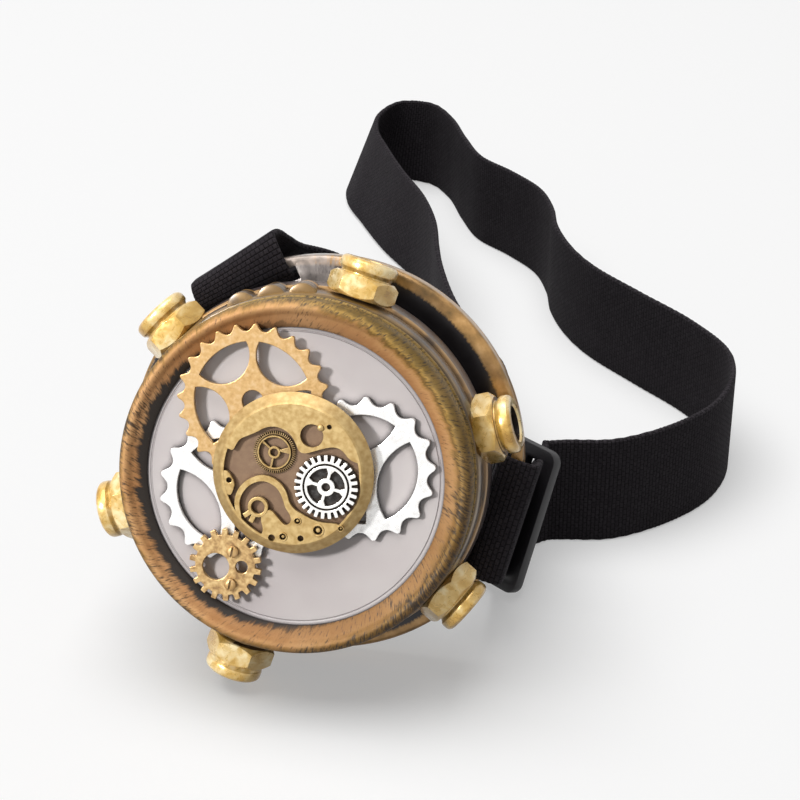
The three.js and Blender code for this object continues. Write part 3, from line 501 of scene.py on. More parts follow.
def stained_metal(name, floor_mm, top_mm, stain, foot, top, light, metallic, rough):
    """Die-cast metal, plated and then stained dark: the stain stays in recesses and is polished off the
    raised faces and the outer edge, and painted shade darkens the corners."""
    m = new_material(name, Metallic=metallic)
    place = eyepiece_place(m)
    height = add(m, "SeparateXYZ", Vector=place, out="Z")
    from_middle = add(m, "VectorMath", place, PLATE_MIDDLE, operation="SUBTRACT")
    flat = add(m, "VectorMath", from_middle, (1, 1, 0), operation="MULTIPLY")
    middle_r = add(m, "VectorMath", flat, operation="LENGTH", out="Value")
    # Clouds 1.1 mm across and grit of 0.25 mm
    clouds = add(m, "TexNoise", Vector=place, Scale=0.9, Detail=5.0)
    grit = add(m, "TexNoise", Vector=place, Scale=4.0, Detail=2.0)
    wander = add(m, "Math", grit, 0.2, -0.1, operation="MULTIPLY_ADD")
    level = add(m, "Math", height, wander, operation="ADD")
    share = add(m, "MapRange", Value=level, From_Min=floor_mm, From_Max=top_mm)
    outside = add(m, "MapRange", Value=middle_r, From_Min=STAIN_REACH, From_Max=STAIN_REACH + 0.1,
                  To_Max=0.8)
    share = add(m, "Math", share, outside, operation="MAXIMUM")
    depth = add(m, "ValToRGB", Fac=share, stops=[(0.0, stain), (0.3, stain), (0.5, foot), (0.9, top)])
    shine = add(m, "MapRange", Value=clouds, From_Min=0.35, From_Max=0.7, To_Max=0.5)
    shine = add(m, "Math", shine, share, operation="MULTIPLY")
    tint = add(m, "MixRGB", Fac=shine, Color1=depth, Color2=light)
    # Painted shade: darker where other surfaces stand close, in corners and along the foot of walls
    tint = painted_corner_shade(m, tint, reach=1.1, from_open=0.75, to_shut=0.3, most=0.75, code="#33220f")
    return finished(m, tint, clouds, (rough - 0.1, rough + 0.12), grit, strength=0.15, depth=0.1)


def lens_plastic():
    """Moulded polycarbonate, slightly hazy: lets the dark cup show through grey, takes the cogs' shadows and
    has a clear gloss. Painted shade darkens it close to the cogs."""
    m = new_material("hazy_polycarbonate", IOR=1.58, Transmission_Weight=0.3, Specular_IOR_Level=0.35)
    place = in_mm(m, object_place(m))
    # Haze in clouds of 12 mm
    haze = add(m, "TexNoise", Vector=place, Scale=0.08, Detail=2.0)
    tint = add(m, "ValToRGB", Fac=haze, stops=[(0.3, "#c9c0bf"), (0.7, "#d1cac8")])
    # Painted shadow and reflection: the lens goes dark close to the cogs' edges, standing for their shadows
    # and their dark backs mirrored in the gloss
    tint = painted_corner_shade(m, tint, reach=1.8, from_open=0.9, to_shut=0.5, most=0.92, code="#2b2628")
    rough = add(m, "MapRange", Value=haze, To_Min=0.06, To_Max=0.14)
    feed(m, Base_Color=tint, Roughness=rough)
    return m


def strap_elastic():
    """Woven black elastic webbing: matt, with short raised stitches in staggered rows across it and a smooth
    selvedge. Stitches are 1.3 mm by 0.85 mm, as the photograph shows them."""
    m = new_material("woven_black_elastic", Roughness=0.85, Sheen_Weight=0.02, Sheen_Roughness=0.5,
                     Specular_IOR_Level=0.08)
    across_along = add(m, "UVMap", uv_map="weave")
    stitches = add(m, "TexBrick", Vector=across_along, Scale=1.0, Brick_Width=1.3, Row_Height=0.85,
                   Mortar_Size=0.17, Mortar_Smooth=0.9, Color1="#3d393d", Color2="#332f33",
                   Mortar="#1c1a1c", offset=0.5)
    # Yarn marks of 0.45 mm
    yarn = add(m, "TexNoise", Vector=across_along, Scale=2.2, Detail=3.0)
    worn = add(m, "MapRange", Value=yarn, From_Min=0.4, From_Max=0.75, To_Max=0.3)
    tint = add(m, "MixRGB", Fac=worn, Color1=stitches, Color2="#4a454a")
    raised = add(m, "Math", 1.0, stitches.node.outputs["Fac"], operation="SUBTRACT")
    raised = add(m, "Math", yarn, 0.5, raised, operation="MULTIPLY_ADD")
    bump = add(m, "Bump", Height=raised, Strength=0.7, Distance=0.3 * MM)
    feed(m, Base_Color=tint, Normal=bump)
    return m


def slider_plastic():
    """Moulded black acetal: satin, with a fine spark-eroded grain."""
    m = new_material("moulded_black_acetal", Specular_IOR_Level=0.5)
    place = in_mm(m, object_place(m))
    # Grain of 0.2 mm
    grain = add(m, "TexNoise", Vector=place, Scale=5.0, Detail=2.0)
    tint = add(m, "ValToRGB", Fac=grain, stops=[(0.3, "#151316"), (0.7, "#1f1d20")])
    return finished(m, tint, grain, (0.34, 0.5), grain, strength=0.1, depth=0.1)


BEZEL_PAINT = bezel_paint()
CUP_PAINT = cup_paint()
RIM_PAINT = rim_paint()
NUT_PAINT = nut_paint()
BRASS = cog_metal("antique_brass_plate", dark="#ae8a57", middle="#c29e6a", light="#d2b285", metallic=0.65,
                  rough_low=0.32, rough_high=0.46)
BRONZE = cog_metal("antique_bronze_plate", dark="#8a6c48", middle="#bc9a68", light="#dcbe88", metallic=0.7,
                   rough_low=0.32, rough_high=0.46)
SILVER = cog_metal("bright_silver_plate", dark="#e2e0de", middle="#f3f2f0", light="#fbfaf8", metallic=0.6,
                   rough_low=0.2, rough_high=0.32)
MOVEMENT_GOLD = stained_metal(
    "stained_antique_gold", floor_mm=0.8, top_mm=2.0, stain="#7c634f", foot="#6f5535", top="#a98a54",
    light="#dcc48e", metallic=0.55, rough=0.42)
GEAR_SILVER = stained_metal(
    "stained_antique_silver", floor_mm=1.3, top_mm=2.1, stain="#1b1512", foot="#2a2220", top="#efece6",
    light="#fbfaf6", metallic=0.5, rough=0.3)
LENS_PLASTIC = lens_plastic()
ELASTIC = strap_elastic()
ACETAL = slider_plastic()


# Strap: stops of its middle line, each with the direction across the ribbon and the share of its width
STRAP_WIDTH = 25.0
STRAP_THICKNESS = 1.3
STRAP_STEP = 0.5
STANDING_HEIGHT = 12.524
BY_SLOT = (0.891, 0.159, 0.425, 0.79)
IN_SLIDER = (0.225, 0.341, 0.913, 1)
BY_BAR = (0.242, 0.34, 0.909, 1)
UPRIGHT = (0, 0, 1, 1)
STOPS_FROM_SLOT = [
    (-35.752, -63.2, 62.464, *BY_SLOT), (-35.207, -69.194, 63.564, *BY_SLOT),
    (-34.799, -75.563, 65.089, *BY_SLOT), (-34.799, -80.247, 66.84, *BY_SLOT),
    (-35.026, -81.777, 67.888, 0.883, 0.164, 0.439, 0.79),
    (-35.525, -81.995, 69.016, 0.867, 0.174, 0.466, 0.79),
    (-37.239, -80.817, 72.166, 0.823, 0.199, 0.532, 0.79),
    (-37.875, -79.725, 73.09, 0.804, 0.208, 0.557, 0.79),
    (-38.056, -77.82, 72.758, 0.804, 0.208, 0.557, 0.79),
    (-38.056, -73.793, 71.252, 0.823, 0.199, 0.532, 0.79),
    (-37.341, -68.664, 67.836, 0.85, 0.184, 0.493, 0.79), (-36.751, -62.513, 64.3, *BY_SLOT),
    (-31.227, -53.303, 57.024, 0.86, 0.1, 0.5, 0.86), (-19.227, -46.303, 43.024, 0.76, 0.03, 0.65, 0.95),
    (-6.227, -44.303, 28.024, 0.552, 0.02, 0.833, 1), (3.773, -42.703, 18.224, 0.24, 0.03, 0.97, 1),
    (9.173, -38.903, 13.924, 0.081, 0.02, 0.997, 1), (10.673, -34.903, 12.724, 0.02, 0.01, 1, 1),
]
STANDING_FIRST = [(10.173, -31.303), (7.573, -23.303), (1.373, -12.303), (-6.827, 3.697), (-13.027, 21.697),
                  (-15.727, 32.697)]
STOPS_LEANING = [
    (-19.227, 46.697, 12.57, 0.04, 0, 0.999, 1), (-25.027, 61.297, 12.596, 0.08, 0, 0.997, 1),
    (-34.727, 77.197, 12.556, 0.196, 0, 0.981, 1), (-42.627, 92.497, 12.438, 0.27, 0, 0.963, 1),
    (-48.627, 105.697, 12.259, 0.339, 0, 0.941, 1), (-49.827, 116.697, 12.259, 0.339, 0, 0.941, 1),
    (-43.727, 124.697, 12.556, 0.196, 0, 0.981, 1), (-32.227, 124.097, 12.57, 0.04, 0, 0.999, 1),
]
STANDING_LAST = [
    (-25.027, 115.297), (-18.927, 101.297), (-12.727, 89.297), (-3.227, 80.697), (5.273, 71.097),
    (9.773, 59.997), (12.073, 49.397), (16.973, 37.697), (23.573, 27.897), (35.773, 15.797),
    (48.673, 3.397), (57.273, -8.903), (59.073, -20.303), (56.973, -30.603), (52.873, -38.303),
    (44.273, -47.403), (35.373, -53.103), (25.773, -55.003), (22.3, -56.0),
]
STOPS_TO_END = [
    (20.3, -58.5, 13.1, 0.1, 0.15, 0.984, 1), (19.2, -62.4, 13.9, *IN_SLIDER),
    (18.7, -66.0, 14.3, *IN_SLIDER), (18.175, -68.532, 14.383, *IN_SLIDER),
    (18.053, -71.092, 15.37, *IN_SLIDER), (18.01, -73.712, 16.361, *IN_SLIDER),
    (20.555, -90.208, 27.347, *BY_BAR), (20.555, -94.236, 28.853, *BY_BAR),
    (20.167, -95.982, 29.609, *BY_BAR), (18.809, -96.519, 30.172, *BY_BAR),
    (15.607, -96.239, 30.919, *BY_BAR), (14.539, -95.584, 30.958, *BY_BAR),
    (14.054, -93.856, 30.441, *BY_BAR), (14.054, -89.172, 28.69, *BY_BAR),
    (13.904, -71.809, 16.662, *IN_SLIDER), (12.388, -69.542, 16.189, *IN_SLIDER),
    (11.04, -67.866, 15.894, *IN_SLIDER), (11.409, -65.959, 15.09, *IN_SLIDER),
    (13.18, -65.019, 14.302, *IN_SLIDER), (15.205, -66.006, 14.172, *IN_SLIDER),
]
SPLIT_STOP = 55
# Half of the ribbon's section, from edge to edge: share of the width and of the thickness
HALF_SECTION = [
    (-0.5, 0.0), (-0.497, 0.28), (-0.488, 0.45), (-0.47, 0.5), (-0.3, 0.5), (-0.1, 0.5), (0.1, 0.5),
    (0.3, 0.5), (0.47, 0.5), (0.488, 0.45), (0.497, 0.28), (0.5, 0.0)]
SECTION = HALF_SECTION + [(v, -h) for v, h in reversed(HALF_SECTION[1:-1])]
SELVEDGE_PITCH = 1.2
SELVEDGE_DEPTH = 0.14
SELVEDGE_FROM = 0.48
STEPS_BETWEEN_STOPS = 24


def standing(places):
    return [(x, y, STANDING_HEIGHT, *UPRIGHT) for x, y in places]


STRAP_STOPS = [*STOPS_FROM_SLOT, *standing(STANDING_FIRST), *STOPS_LEANING,
               *standing(STANDING_LAST), *STOPS_TO_END]


def flowing(points, spans, share):
    """A point between the second and third of four, on a smooth line through them."""
    p0, p1, p2, p3 = points
    d0, d1, d2 = spans
    leave = ((p1 - p0) / d0 - (p2 - p0) / (d0 + d1) + (p2 - p1) / d1) * d1
    arrive = ((p2 - p1) / d1 - (p3 - p1) / (d1 + d2) + (p3 - p2) / d2) * d1
    square = 3 * (p2 - p1) - 2 * leave - arrive
    cube = 2 * (p1 - p2) + leave + arrive
    return p1 + share * (leave + share * (square + share * cube))


def strap_route():
    """Fine points of the strap's middle line with the direction across it, width share and stop number."""
    places = [Vector(stop[:3]) for stop in STRAP_STOPS]
    sides = [Vector((*stop[3:6], stop[6])) for stop in STRAP_STOPS]
    ends = [[2 * row[0] - row[1], *row, 2 * row[-1] - row[-2]] for row in (places, sides)]
    route = []
    for i in range(len(places) - 1):
        four, four_sides = [row[i:i + 4] for row in ends]
        spans = [max((b - a).length ** 0.5, 1e-3) for a, b in zip(four, four[1:])]
        for k in range(STEPS_BETWEEN_STOPS):
            share = k / STEPS_BETWEEN_STOPS
            side = flowing(four_sides, (1, 1, 1), share)
            across = Vector(side[:3]).normalized()
            route.append((flowing(four, spans, share), across, side[3], i + share))
    last = sides[-1]
    route.append((places[-1], Vector(last[:3]).normalized(), last[3], len(places) - 1.0))
    return route


def strap_piece(name, route, began_at):
    """A ribbon along part of the route, with the weave's places across and along it in its UV map."""
    spaced = [route[0]]
    along = [began_at]
    for stop in route[1:]:
        gap = (stop[0] - spaced[-1][0]).length
        if gap >= STRAP_STEP or stop is route[-1]:
            spaced.append(stop)
            along.append(along[-1] + gap)
    points = []
    weave = []
    for i, (place, across, share, _) in enumerate(spaced):
        ahead = spaced[min(i + 1, len(spaced) - 1)][0] - spaced[max(i - 1, 0)][0]
        facing = across.cross(ahead).normalized()
        wave = 0.5 - 0.5 * math.cos(2 * math.pi * along[i] / SELVEDGE_PITCH)
        for v, h in SECTION:
            inset = SELVEDGE_DEPTH * wave if abs(v) > SELVEDGE_FROM else 0.0
            out = v * STRAP_WIDTH * share - math.copysign(inset, v)
            points.append((place + across * out + facing * (h * STRAP_THICKNESS)) * MM)
            weave.append((v * STRAP_WIDTH, along[i]))
    count = len(SECTION)
    faces = []
    for i in range(len(spaced) - 1):
        for k in range(count):
            here, there = i * count + k, i * count + (k + 1) % count
            faces.append((here, there, there + count, here + count))
    faces.append(tuple(range(count - 1, -1, -1)))
    faces.append(tuple(range(len(points) - count, len(points))))
    mesh = bpy.data.meshes.new(name)
    mesh.from_pydata(points, [], faces)
    layer = mesh.uv_layers.new(name="weave")
    for loop in mesh.loops:
        layer.data[loop.index].uv = weave[loop.vertex_index]
    piece = bpy.data.objects.new(name, mesh)
    bpy.context.collection.objects.link(piece)
    open_mesh(piece)
    bpy.ops.mesh.normals_make_consistent(inside=False)
    bpy.ops.object.mode_set(mode="OBJECT")
    bpy.ops.object.shade_smooth_by_angle(angle=SMOOTH_ANGLE)
    mesh.materials.append(ELASTIC)
    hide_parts("strap")
    return piece, along[-1]


ROUTE = strap_route()
FINE_SPLIT = next(i for i, stop in enumerate(ROUTE) if stop[3] >= SPLIT_STOP)
strap_long, LONG_END = strap_piece("strap_long", ROUTE[:FINE_SPLIT + 1], 0.0)
strap_tail, TAIL_END = strap_piece("strap_tail", ROUTE[FINE_SPLIT:], LONG_END)
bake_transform(strap_long)
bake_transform(strap_tail)


# Pieces of the eyepiece

def settle(piece, material, body, slot, *nodes, place=EYEPIECE, smooth=SMOOTH_ANGLE):
    """Puts a finished piece in its place, gives it its material, hangs it on the body that it moves with and
    hides the nodes that it stands for. The slot is not used.
    """
    fix_place(piece, place)
    bpy.ops.object.shade_smooth_by_angle(angle=smooth)
    if material:
        piece.data.materials.clear()
        piece.data.materials.append(material)
    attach(piece, body)
    if nodes:
        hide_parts(*nodes)


def bezel_ring():
    piece = spun("bezel_ring", [
        (28.0, -2.9), (28.03, -2.75), (28.2, -2.6), (28.6, -2.38), (29.2, -2.1), (29.8, -1.86),
        (30.3, -1.7), (30.6, -1.5), (30.9, -1.2), (31.2, -0.96), (31.5, -0.82), (31.85, -0.77),
        (32.2, -0.85), (32.5, -1.03), (32.78, -1.32), (33.0, -1.7), (33.14, -2.15), (33.2, -2.7),
        (33.2, -5.6), (33.05, -5.95), (32.72, -6.3), (32.6, -6.55), (32.6, -6.9), (32.75, -7.0),
        (33.15, -7.1), (33.3, -7.25), (33.3, -7.85), (33.15, -8.0), (31.5, -8.0), (31.5, -5.2),
        (30.9, -5.2), (30.9, -2.9)])
    settle(piece, BEZEL_PAINT, "bezel", "copper_paint", "front_bezel")


def lens_disc():
    piece = spun("lens_disc", [
        (0, -5.2), (30.45, -5.2), (30.6, -5.05), (30.6, -3.5), (30.5, -3.3), (30.3, -3.2), (27.5, -3.2),
        (27.35, -3.32), (27.2, -3.32), (27.05, -3.2), (0, -3.2)])
    settle(piece, LENS_PLASTIC, "lens_stack", "clear_lens", "lens")


NUT_ANGLES_DEG = [17, 76, 138, 197.5, 253.2, 323]
NUT_RAISES = [0, 0, 0, 0, 2.6, 0]
NUT_LEANS_DEG = [-4, 7, 0, 0, 0, 0]
NUT_AXIAL = -14.3
NUT_ACROSS_FLATS = 11.6
NUT_HEX_HEIGHT = 4.2
NUT_BARE_R = 3.5
NUT_SEAT_FOOT_R = 29.2
NUT_SEAT_TOP_R = 33.4
SEAT_GAP = 0.3
HOOD_ANGLES_DEG = [92.8, 103.1, 113.4]
HOOD_R = 2.9
HOOD_STRAIGHT = 1.6
HOOD_AXIAL = -12.8
HOOD_MIDDLE_R = 32.5


def outward(angle_deg, axial, radius=0.0, lean_deg=0.0):
    """Turns what was made along z to point out from the axis, at an angle round the eyepiece."""
    lean = Matrix.Rotation(math.radians(lean_deg), 4, "Y")
    stand = Matrix.Rotation(math.pi / 2, 4, "Y")
    turn = Matrix.Rotation(math.radians(angle_deg), 4, "Z")
    return moved(0, 0, axial) @ turn @ stand @ moved(0, 0, radius) @ lean


def eyecup_shell():
    shell = spun("eyecup_shell", [
        (28.5, -5.5), (31.2, -5.5), (31.2, -8.3), (33.2, -8.3), (33.45, -8.4), (33.6, -8.65),
        (34.1, -11.4), (34.0, -11.7), (33.3, -11.95), (33.3, -12.7), (34.3, -12.85), (34.5, -13.1),
        (34.6, -13.9), (34.5, -14.1), (34.55, -14.35), (34.95, -17.2), (34.9, -17.8), (34.6, -18.3),
        (32.4, -19.8), (32.1, -20.3), (32.0, -24.7), (30.5, -24.7), (30.5, -30.35), (30.35, -30.5),
        (28.65, -30.5), (28.5, -30.35)])
    hood = spun("hood", [(0, 3.6), (2.6, 3.6), (2.82, 3.5), (HOOD_R, 3.3),
                         *arc_points((0, -HOOD_STRAIGHT), HOOD_R, 0, -90, 12)], steps=48)
    for angle in HOOD_ANGLES_DEG:
        a = math.radians(angle)
        copy = copied(hood, "hood_copy")
        fix_place(copy, moved(HOOD_MIDDLE_R * math.cos(a), HOOD_MIDDLE_R * math.sin(a), HOOD_AXIAL))
        joined(shell, copy, "UNION")
    bpy.data.objects.remove(hood)
    for angle, rise in zip(NUT_ANGLES_DEG, NUT_RAISES):
        top = NUT_SEAT_TOP_R + rise
        seat = spun("seat", [(0, NUT_SEAT_FOOT_R), (4.9, NUT_SEAT_FOOT_R), (4.9, top - 0.2), (4.7, top),
                             (0, top)], steps=48)
        fix_place(seat, outward(angle, NUT_AXIAL))
        joined(shell, seat, "UNION")
    settle(shell, CUP_PAINT, "eyecup", "black_copper_paint", "eyecup_body")


RIM_OFF_CENTRE = (1.2, 0.4)
RIM_BORE_R = 30.8
RIM_SLOT_ANGLES_DEG = [117, -14]
RIM_SLOT_LENGTHS = [21.6, 26.4]
RIM_SLOT_WIDTH = 2.6
RIM_SLOT_R = 34.3
RIM_MIDDLE = -27.25
RIM_CUT = 12


def rim_ring():
    rim = spun("rim_ring", [
        (0, -29.5), *arc_points((37.9, -28.6), 0.9, -90, 0, 6), *arc_points((37.9, -25.9), 0.9, 0, 90, 6),
        (0, -25.0)])
    fix_place(rim, moved(*RIM_OFF_CENTRE, 0))
    joined(rim, rod(RIM_BORE_R, -33, -20, steps=FINE_STEPS), "DIFFERENCE")
    for angle, length in zip(RIM_SLOT_ANGLES_DEG, RIM_SLOT_LENGTHS):
        slot = block(RIM_SLOT_WIDTH, length, RIM_CUT)
        fix_place(slot, Matrix.Rotation(math.radians(angle), 4, "Z") @ moved(RIM_SLOT_R, 0, RIM_MIDDLE))
        joined(rim, slot, "DIFFERENCE")
    soften(rim, 0.25, angle=40)
    settle(rim, RIM_PAINT, "eyecup", "copper_paint", "rear_rim")


def lock_nuts():
    """Chamfered hexagon with a rounded collar on it and a V groove between them."""
    corner = NUT_ACROSS_FLATS / math.sqrt(3)
    bpy.ops.object.select_all(action="DESELECT")
    bpy.ops.mesh.primitive_cylinder_add(vertices=6, radius=corner * MM, depth=NUT_HEX_HEIGHT * MM,
                                        location=(0, 0, NUT_HEX_HEIGHT / 2 * MM))
    nut = bpy.context.object
    bpy.ops.object.transform_apply(location=True, rotation=True, scale=True)
    rounding = [
        (0, -0.1), (5.4, -0.1), (5.6, 0.0), (corner, 0.9), (corner, 3.3), (5.6, 4.2), (5.4, 4.3),
        (0, 4.3)]
    collar = [
        (0, 3.7), (4.9, 3.7), (4.85, 4.45), (5.05, 4.85), (5.4, 5.15), (5.5, 5.5), (5.5, 6.4),
        (5.35, 6.8), (4.9, 7.2), (4.5, 7.3), (0, 7.3)]
    bore = [(0, -1), (3.4, -1), (3.4, 6.9), (3.7, 7.4), (3.7, 8), (0, 8)]
    for profile, operation in ((rounding, "INTERSECT"), (collar, "UNION"), (bore, "DIFFERENCE")):
        joined(nut, spun("nut_tool", profile, steps=ROUND_STEPS), operation)
    soften(nut, 0.28, segments=3, angle=24)
    nut.data.materials.append(NUT_PAINT)
    nut.data.materials.append(CUP_PAINT)
    for face in nut.data.polygons:
        if Vector(face.center[:2]).length < NUT_BARE_R * MM:
            face.material_index = 1
    for i, (angle, rise, lean) in enumerate(zip(NUT_ANGLES_DEG, NUT_RAISES, NUT_LEANS_DEG), start=1):
        copy = copied(nut, "lock_nut_%d" % i)
        place = EYEPIECE @ outward(angle, NUT_AXIAL, NUT_SEAT_TOP_R + rise + SEAT_GAP, lean)
        settle(copy, None, "eyecup", "gold_paint", "hex_nut_%d" % i, place=place)
    bpy.data.objects.remove(nut)


# Cogs

SCALLOP = [(-0.5, 0), (-0.36, 0.07), (-0.22, 0.38), (-0.09, 0.94), (0, 1.04), (0.09, 0.94), (0.22, 0.38),
           (0.36, 0.07)]


def scalloped(teeth, tip, root, turn_deg):
    points = []
    for i in range(teeth):
        for share, height in SCALLOP:
            a = math.radians(turn_deg) + (i + share) * 2 * math.pi / teeth
            r = root + (tip - root) * height
            points.append((r * math.cos(a), r * math.sin(a)))
    return rounded(points)


def toothed(teeth, tip, root, tip_share, root_share, turn_deg=0.0):
    points = []
    pitch = 2 * math.pi / teeth
    corners = [(root, -0.5 + root_share / 2), (tip, -tip_share / 2), (tip, tip_share / 2),
               (root, 0.5 - root_share / 2)]
    for i in range(teeth):
        for r, share in corners:
            a = math.radians(turn_deg) + (i + share) * pitch
            points.append((r * math.cos(a), r * math.sin(a)))
    return rounded(points, 1, 0.1)


def leaf_window(middle_deg, ring, leaf_at, leaf_r, steps=24):
    half = math.acos((ring ** 2 + leaf_at ** 2 - leaf_r ** 2) / (2 * ring * leaf_at))
    tip = math.atan2(ring * math.sin(half), ring * math.cos(half) - leaf_at)
    outer = arc_points((0, 0), ring, math.degrees(-half), math.degrees(half), steps)
    inner = arc_points((leaf_at, 0), leaf_r, math.degrees(tip), 360 - math.degrees(tip), steps)[1:-1]
    return turned(outer + inner, middle_deg)


def spoke_windows(arms, rim, hub, width, arm_deg, steps=16):
    windows = []
    for i in range(arms):
        middle = arm_deg + (i + 0.5) * 360 / arms
        outer = 180 / arms - math.degrees(width / 2 / rim)
        inner = 180 / arms - math.degrees(width / 2 / hub)
        windows.append(arc_points((0, 0), rim, middle - outer, middle + outer, steps)
                       + arc_points((0, 0), hub, middle + inner, middle - inner, steps))
    return windows


COG_THICKNESS = 1.0
SPROCKET_BORE_R = 2.0
BRASS_SPROCKET = dict(
    teeth=24, tip=14.25, root=12.9, arms=5, ring=11.0, leaf_at=10.4, leaf_r=5.5, bottom=-1.6)
SILVER_SPROCKET = dict(
    teeth=17, tip=13.37, root=11.87, arms=3, ring=10.1, leaf_at=12.8, leaf_r=9.8, bottom=-2.9)
SMALL_COG_AT = (-11.7, -17.2)
SMALL_COG_BOTTOM = -1.6
SCREWS_AT = [(1.4, 2.75), (1.25, -3.5)]
SCREW_TOP = 0.4
SCREW_TURN_DEG = -8


def sprocket(name, at, turn_deg, arm_deg, teeth, tip, root, arms, ring, leaf_at, leaf_r, bottom):
    outlines = [scalloped(teeth, tip, root, turn_deg), ring_points(SPROCKET_BORE_R)]
    for i in range(arms):
        outlines.append(leaf_window(arm_deg + (i + 0.5) * 360 / arms, ring, leaf_at, leaf_r))
    return cut_plate(name, [shifted(points, at) for points in outlines], bottom, COG_THICKNESS, edge=0.15)


def sprockets():
    brass = sprocket("brass_sprocket", (-8.0, 14.0), turn_deg=1.0, arm_deg=21, **BRASS_SPROCKET)
    settle(brass, BRASS, "lens_stack", "antique_brass", "brass_gear", smooth=PLATE_ANGLE)
    left = sprocket("silver_sprocket_left", (-11.8, -3.5), turn_deg=1.0, arm_deg=30, **SILVER_SPROCKET)
    settle(left, SILVER, "lens_stack", "silver_metal", "silver_gear_left", smooth=PLATE_ANGLE)
    right = sprocket("silver_sprocket_right", (12.95, 2.94), turn_deg=6.5, arm_deg=46.5, **SILVER_SPROCKET)
    settle(right, SILVER, "lens_stack", "silver_metal", "silver_gear_right", smooth=PLATE_ANGLE)


def small_cog():
    outlines = [toothed(teeth=18, tip=6.85, root=5.7, tip_share=0.4, root_share=0.44, turn_deg=13.4),
                ring_points(2.55, (-1.75, -0.45)), ring_points(1.2, (3.15, -0.1))]
    outlines += [ring_points(0.9, place, 32) for place in SCREWS_AT]
    outlines = [shifted(points, SMALL_COG_AT) for points in outlines]
    small = cut_plate("small_cog", outlines, SMALL_COG_BOTTOM, COG_THICKNESS)
    settle(small, BRONZE, "lens_stack", "dark_bronze", "small_gear", smooth=PLATE_ANGLE)
    for i, (x, y) in enumerate(shifted(SCREWS_AT, SMALL_COG_AT), start=1):
        screw = spun("cog_screw_%d" % i, [
            (0, -1.6), (0.6, -1.6), (0.6, -0.3), (1.05, -0.3), (1.1, -0.25), (1.1, 0.05), (1.0, 0.2),
            (0.77, 0.36), (0.7, SCREW_TOP), (0, SCREW_TOP)], steps=40)
        slot = block(0.42, 3.3, 0.8)
        fix_place(slot, Matrix.Rotation(math.radians(SCREW_TURN_DEG), 4, "Z") @ moved(0, 0, SCREW_TOP))
        joined(screw, slot, "DIFFERENCE")
        settle(screw, BRASS, "lens_stack", "antique_brass", "gear_screw_%d" % i,
               place=EYEPIECE @ moved(x, y, 0))


# Watch movement, drawn from the middle of its plate

PLATE = EYEPIECE @ moved(*PLATE_MIDDLE)
TRAIN_EDGE = [
    (-16, 5.0), (-11.83, 3.76), (-11.01, 3.44), (-10.41, 4.82), (-9.79, 5.81), (-8.09, 6.62),
    (-6.54, 7.42), (-5.51, 8.18), (-3.94, 8.64), (-2.34, 8.47), (-0.98, 7.8), (0, 6.83), (0.58, 5.83),
    (1.03, 4.81), (1.59, 4.21), (2.65, 4.17), (3.95, 4.69), (5.76, 5.38), (7.31, 5.79), (8.64, 5.65),
    (9.6, 4.95), (10.31, 4.09), (11.13, 3.51), (12.19, 3.26), (16, 2.4), (16, 16), (-16, 16),
]
LOWER_EDGE = [
    (11.4, -10.9), (9.7, -8.5), (8.37, -8.29), (6.26, -8.36), (4.38, -8.01), (2.2, -7.02), (0.83, -6.36),
    (-0.16, -5.12), (-0.66, -3.3), (-1.8, -1.81), (-3.46, -0.77), (-5.07, -0.53), (-6.39, -0.78),
    (-8.47, -1.91), (-9.98, -3.93), (-10.38, -6.64), (-9.3, -9.49), (-8.65, -9.15), (-9.45, -6.56),
    (-9.1, -4.6), (-7.85, -2.75), (-6.08, -1.75), (-4.48, -1.65), (-2.9, -2.35), (-1.95, -3.3),
    (-1.25, -4.7), (-0.75, -6.25), (0.3, -7.5), (0.5, -8.75), (-0.32, -9.6), (-1.15, -9.2), (-2.28, -8.0),
    (-3.3, -6.95), (-4.1, -7.0), (-5.4, -8.3), (-4.5, -10.9), (-5.3, -12.0), (-8.6, -16), (16, -16),
]
PLATE_STRIP = [(-12.8, -4.4), (-11.2, -5.0), (-10.75, -4.4), (-10.3, -2.5), (-11.76, -0.36), (-13, -0.4)]
GEAR_AT = (6.6, -1.7)
GEAR_RECESS_R = 6.35
WHEEL_AT = (-3.4, 3.75)
EYE_AT = (-5.83, -6.6)
BOSSES = [((-0.89, -11.66), 0.85), ((1.66, -8.47), 0.75), ((5.54, -9.85), 1.2), ((9.74, -9.09), 0.6)]
STUD_AT = (5.02, 9.13)
PLATE_R = 15.0
SLOPE_IN = 2.0
SLOPE_FOOT = 0.4
SLOPE_RISE = 1.7
FLOOR = 0.9
WELL_R = 12.6
CUT_TOP = 4
CUT_R = 20
BRIDGE_BOTTOM = 1.2
CLEAR_ABOVE = 0.95
PLATE_TOP = 2.1


def slope_r(height):
    """Radius of the plate's sloping side at a height."""
    return PLATE_R - SLOPE_IN * (height - SLOPE_FOOT) / SLOPE_RISE


def settle_plate(piece, slot, node, material=MOVEMENT_GOLD):
    settle(piece, material, "lens_stack", slot, node, place=PLATE, smooth=PLATE_ANGLE)


def movement_base():
    plate = spun("movement_base", [
        (0, -0.3), (14.6, -0.3), (PLATE_R, 0.1), (PLATE_R, SLOPE_FOOT), (slope_r(PLATE_TOP), PLATE_TOP),
        (WELL_R, PLATE_TOP), (WELL_R, FLOOR), (0, FLOOR)])
    for edge in (TRAIN_EDGE, LOWER_EDGE):
        joined(plate, cut_plate("clear", [rounded(edge)], CLEAR_ABOVE, 3.0, edge=0.01), "DIFFERENCE")
    joined(plate, rod(GEAR_RECESS_R, FLOOR, CUT_TOP, GEAR_AT), "DIFFERENCE")
    strip = cut_plate("strip", [rounded(PLATE_STRIP, 1), ring_points(0.5, (-11.5, -2.1), 24)], 0.7, 1.35)
    joined(plate, strip, "UNION")
    settle_plate(plate, "antique_brass", "movement_plate")


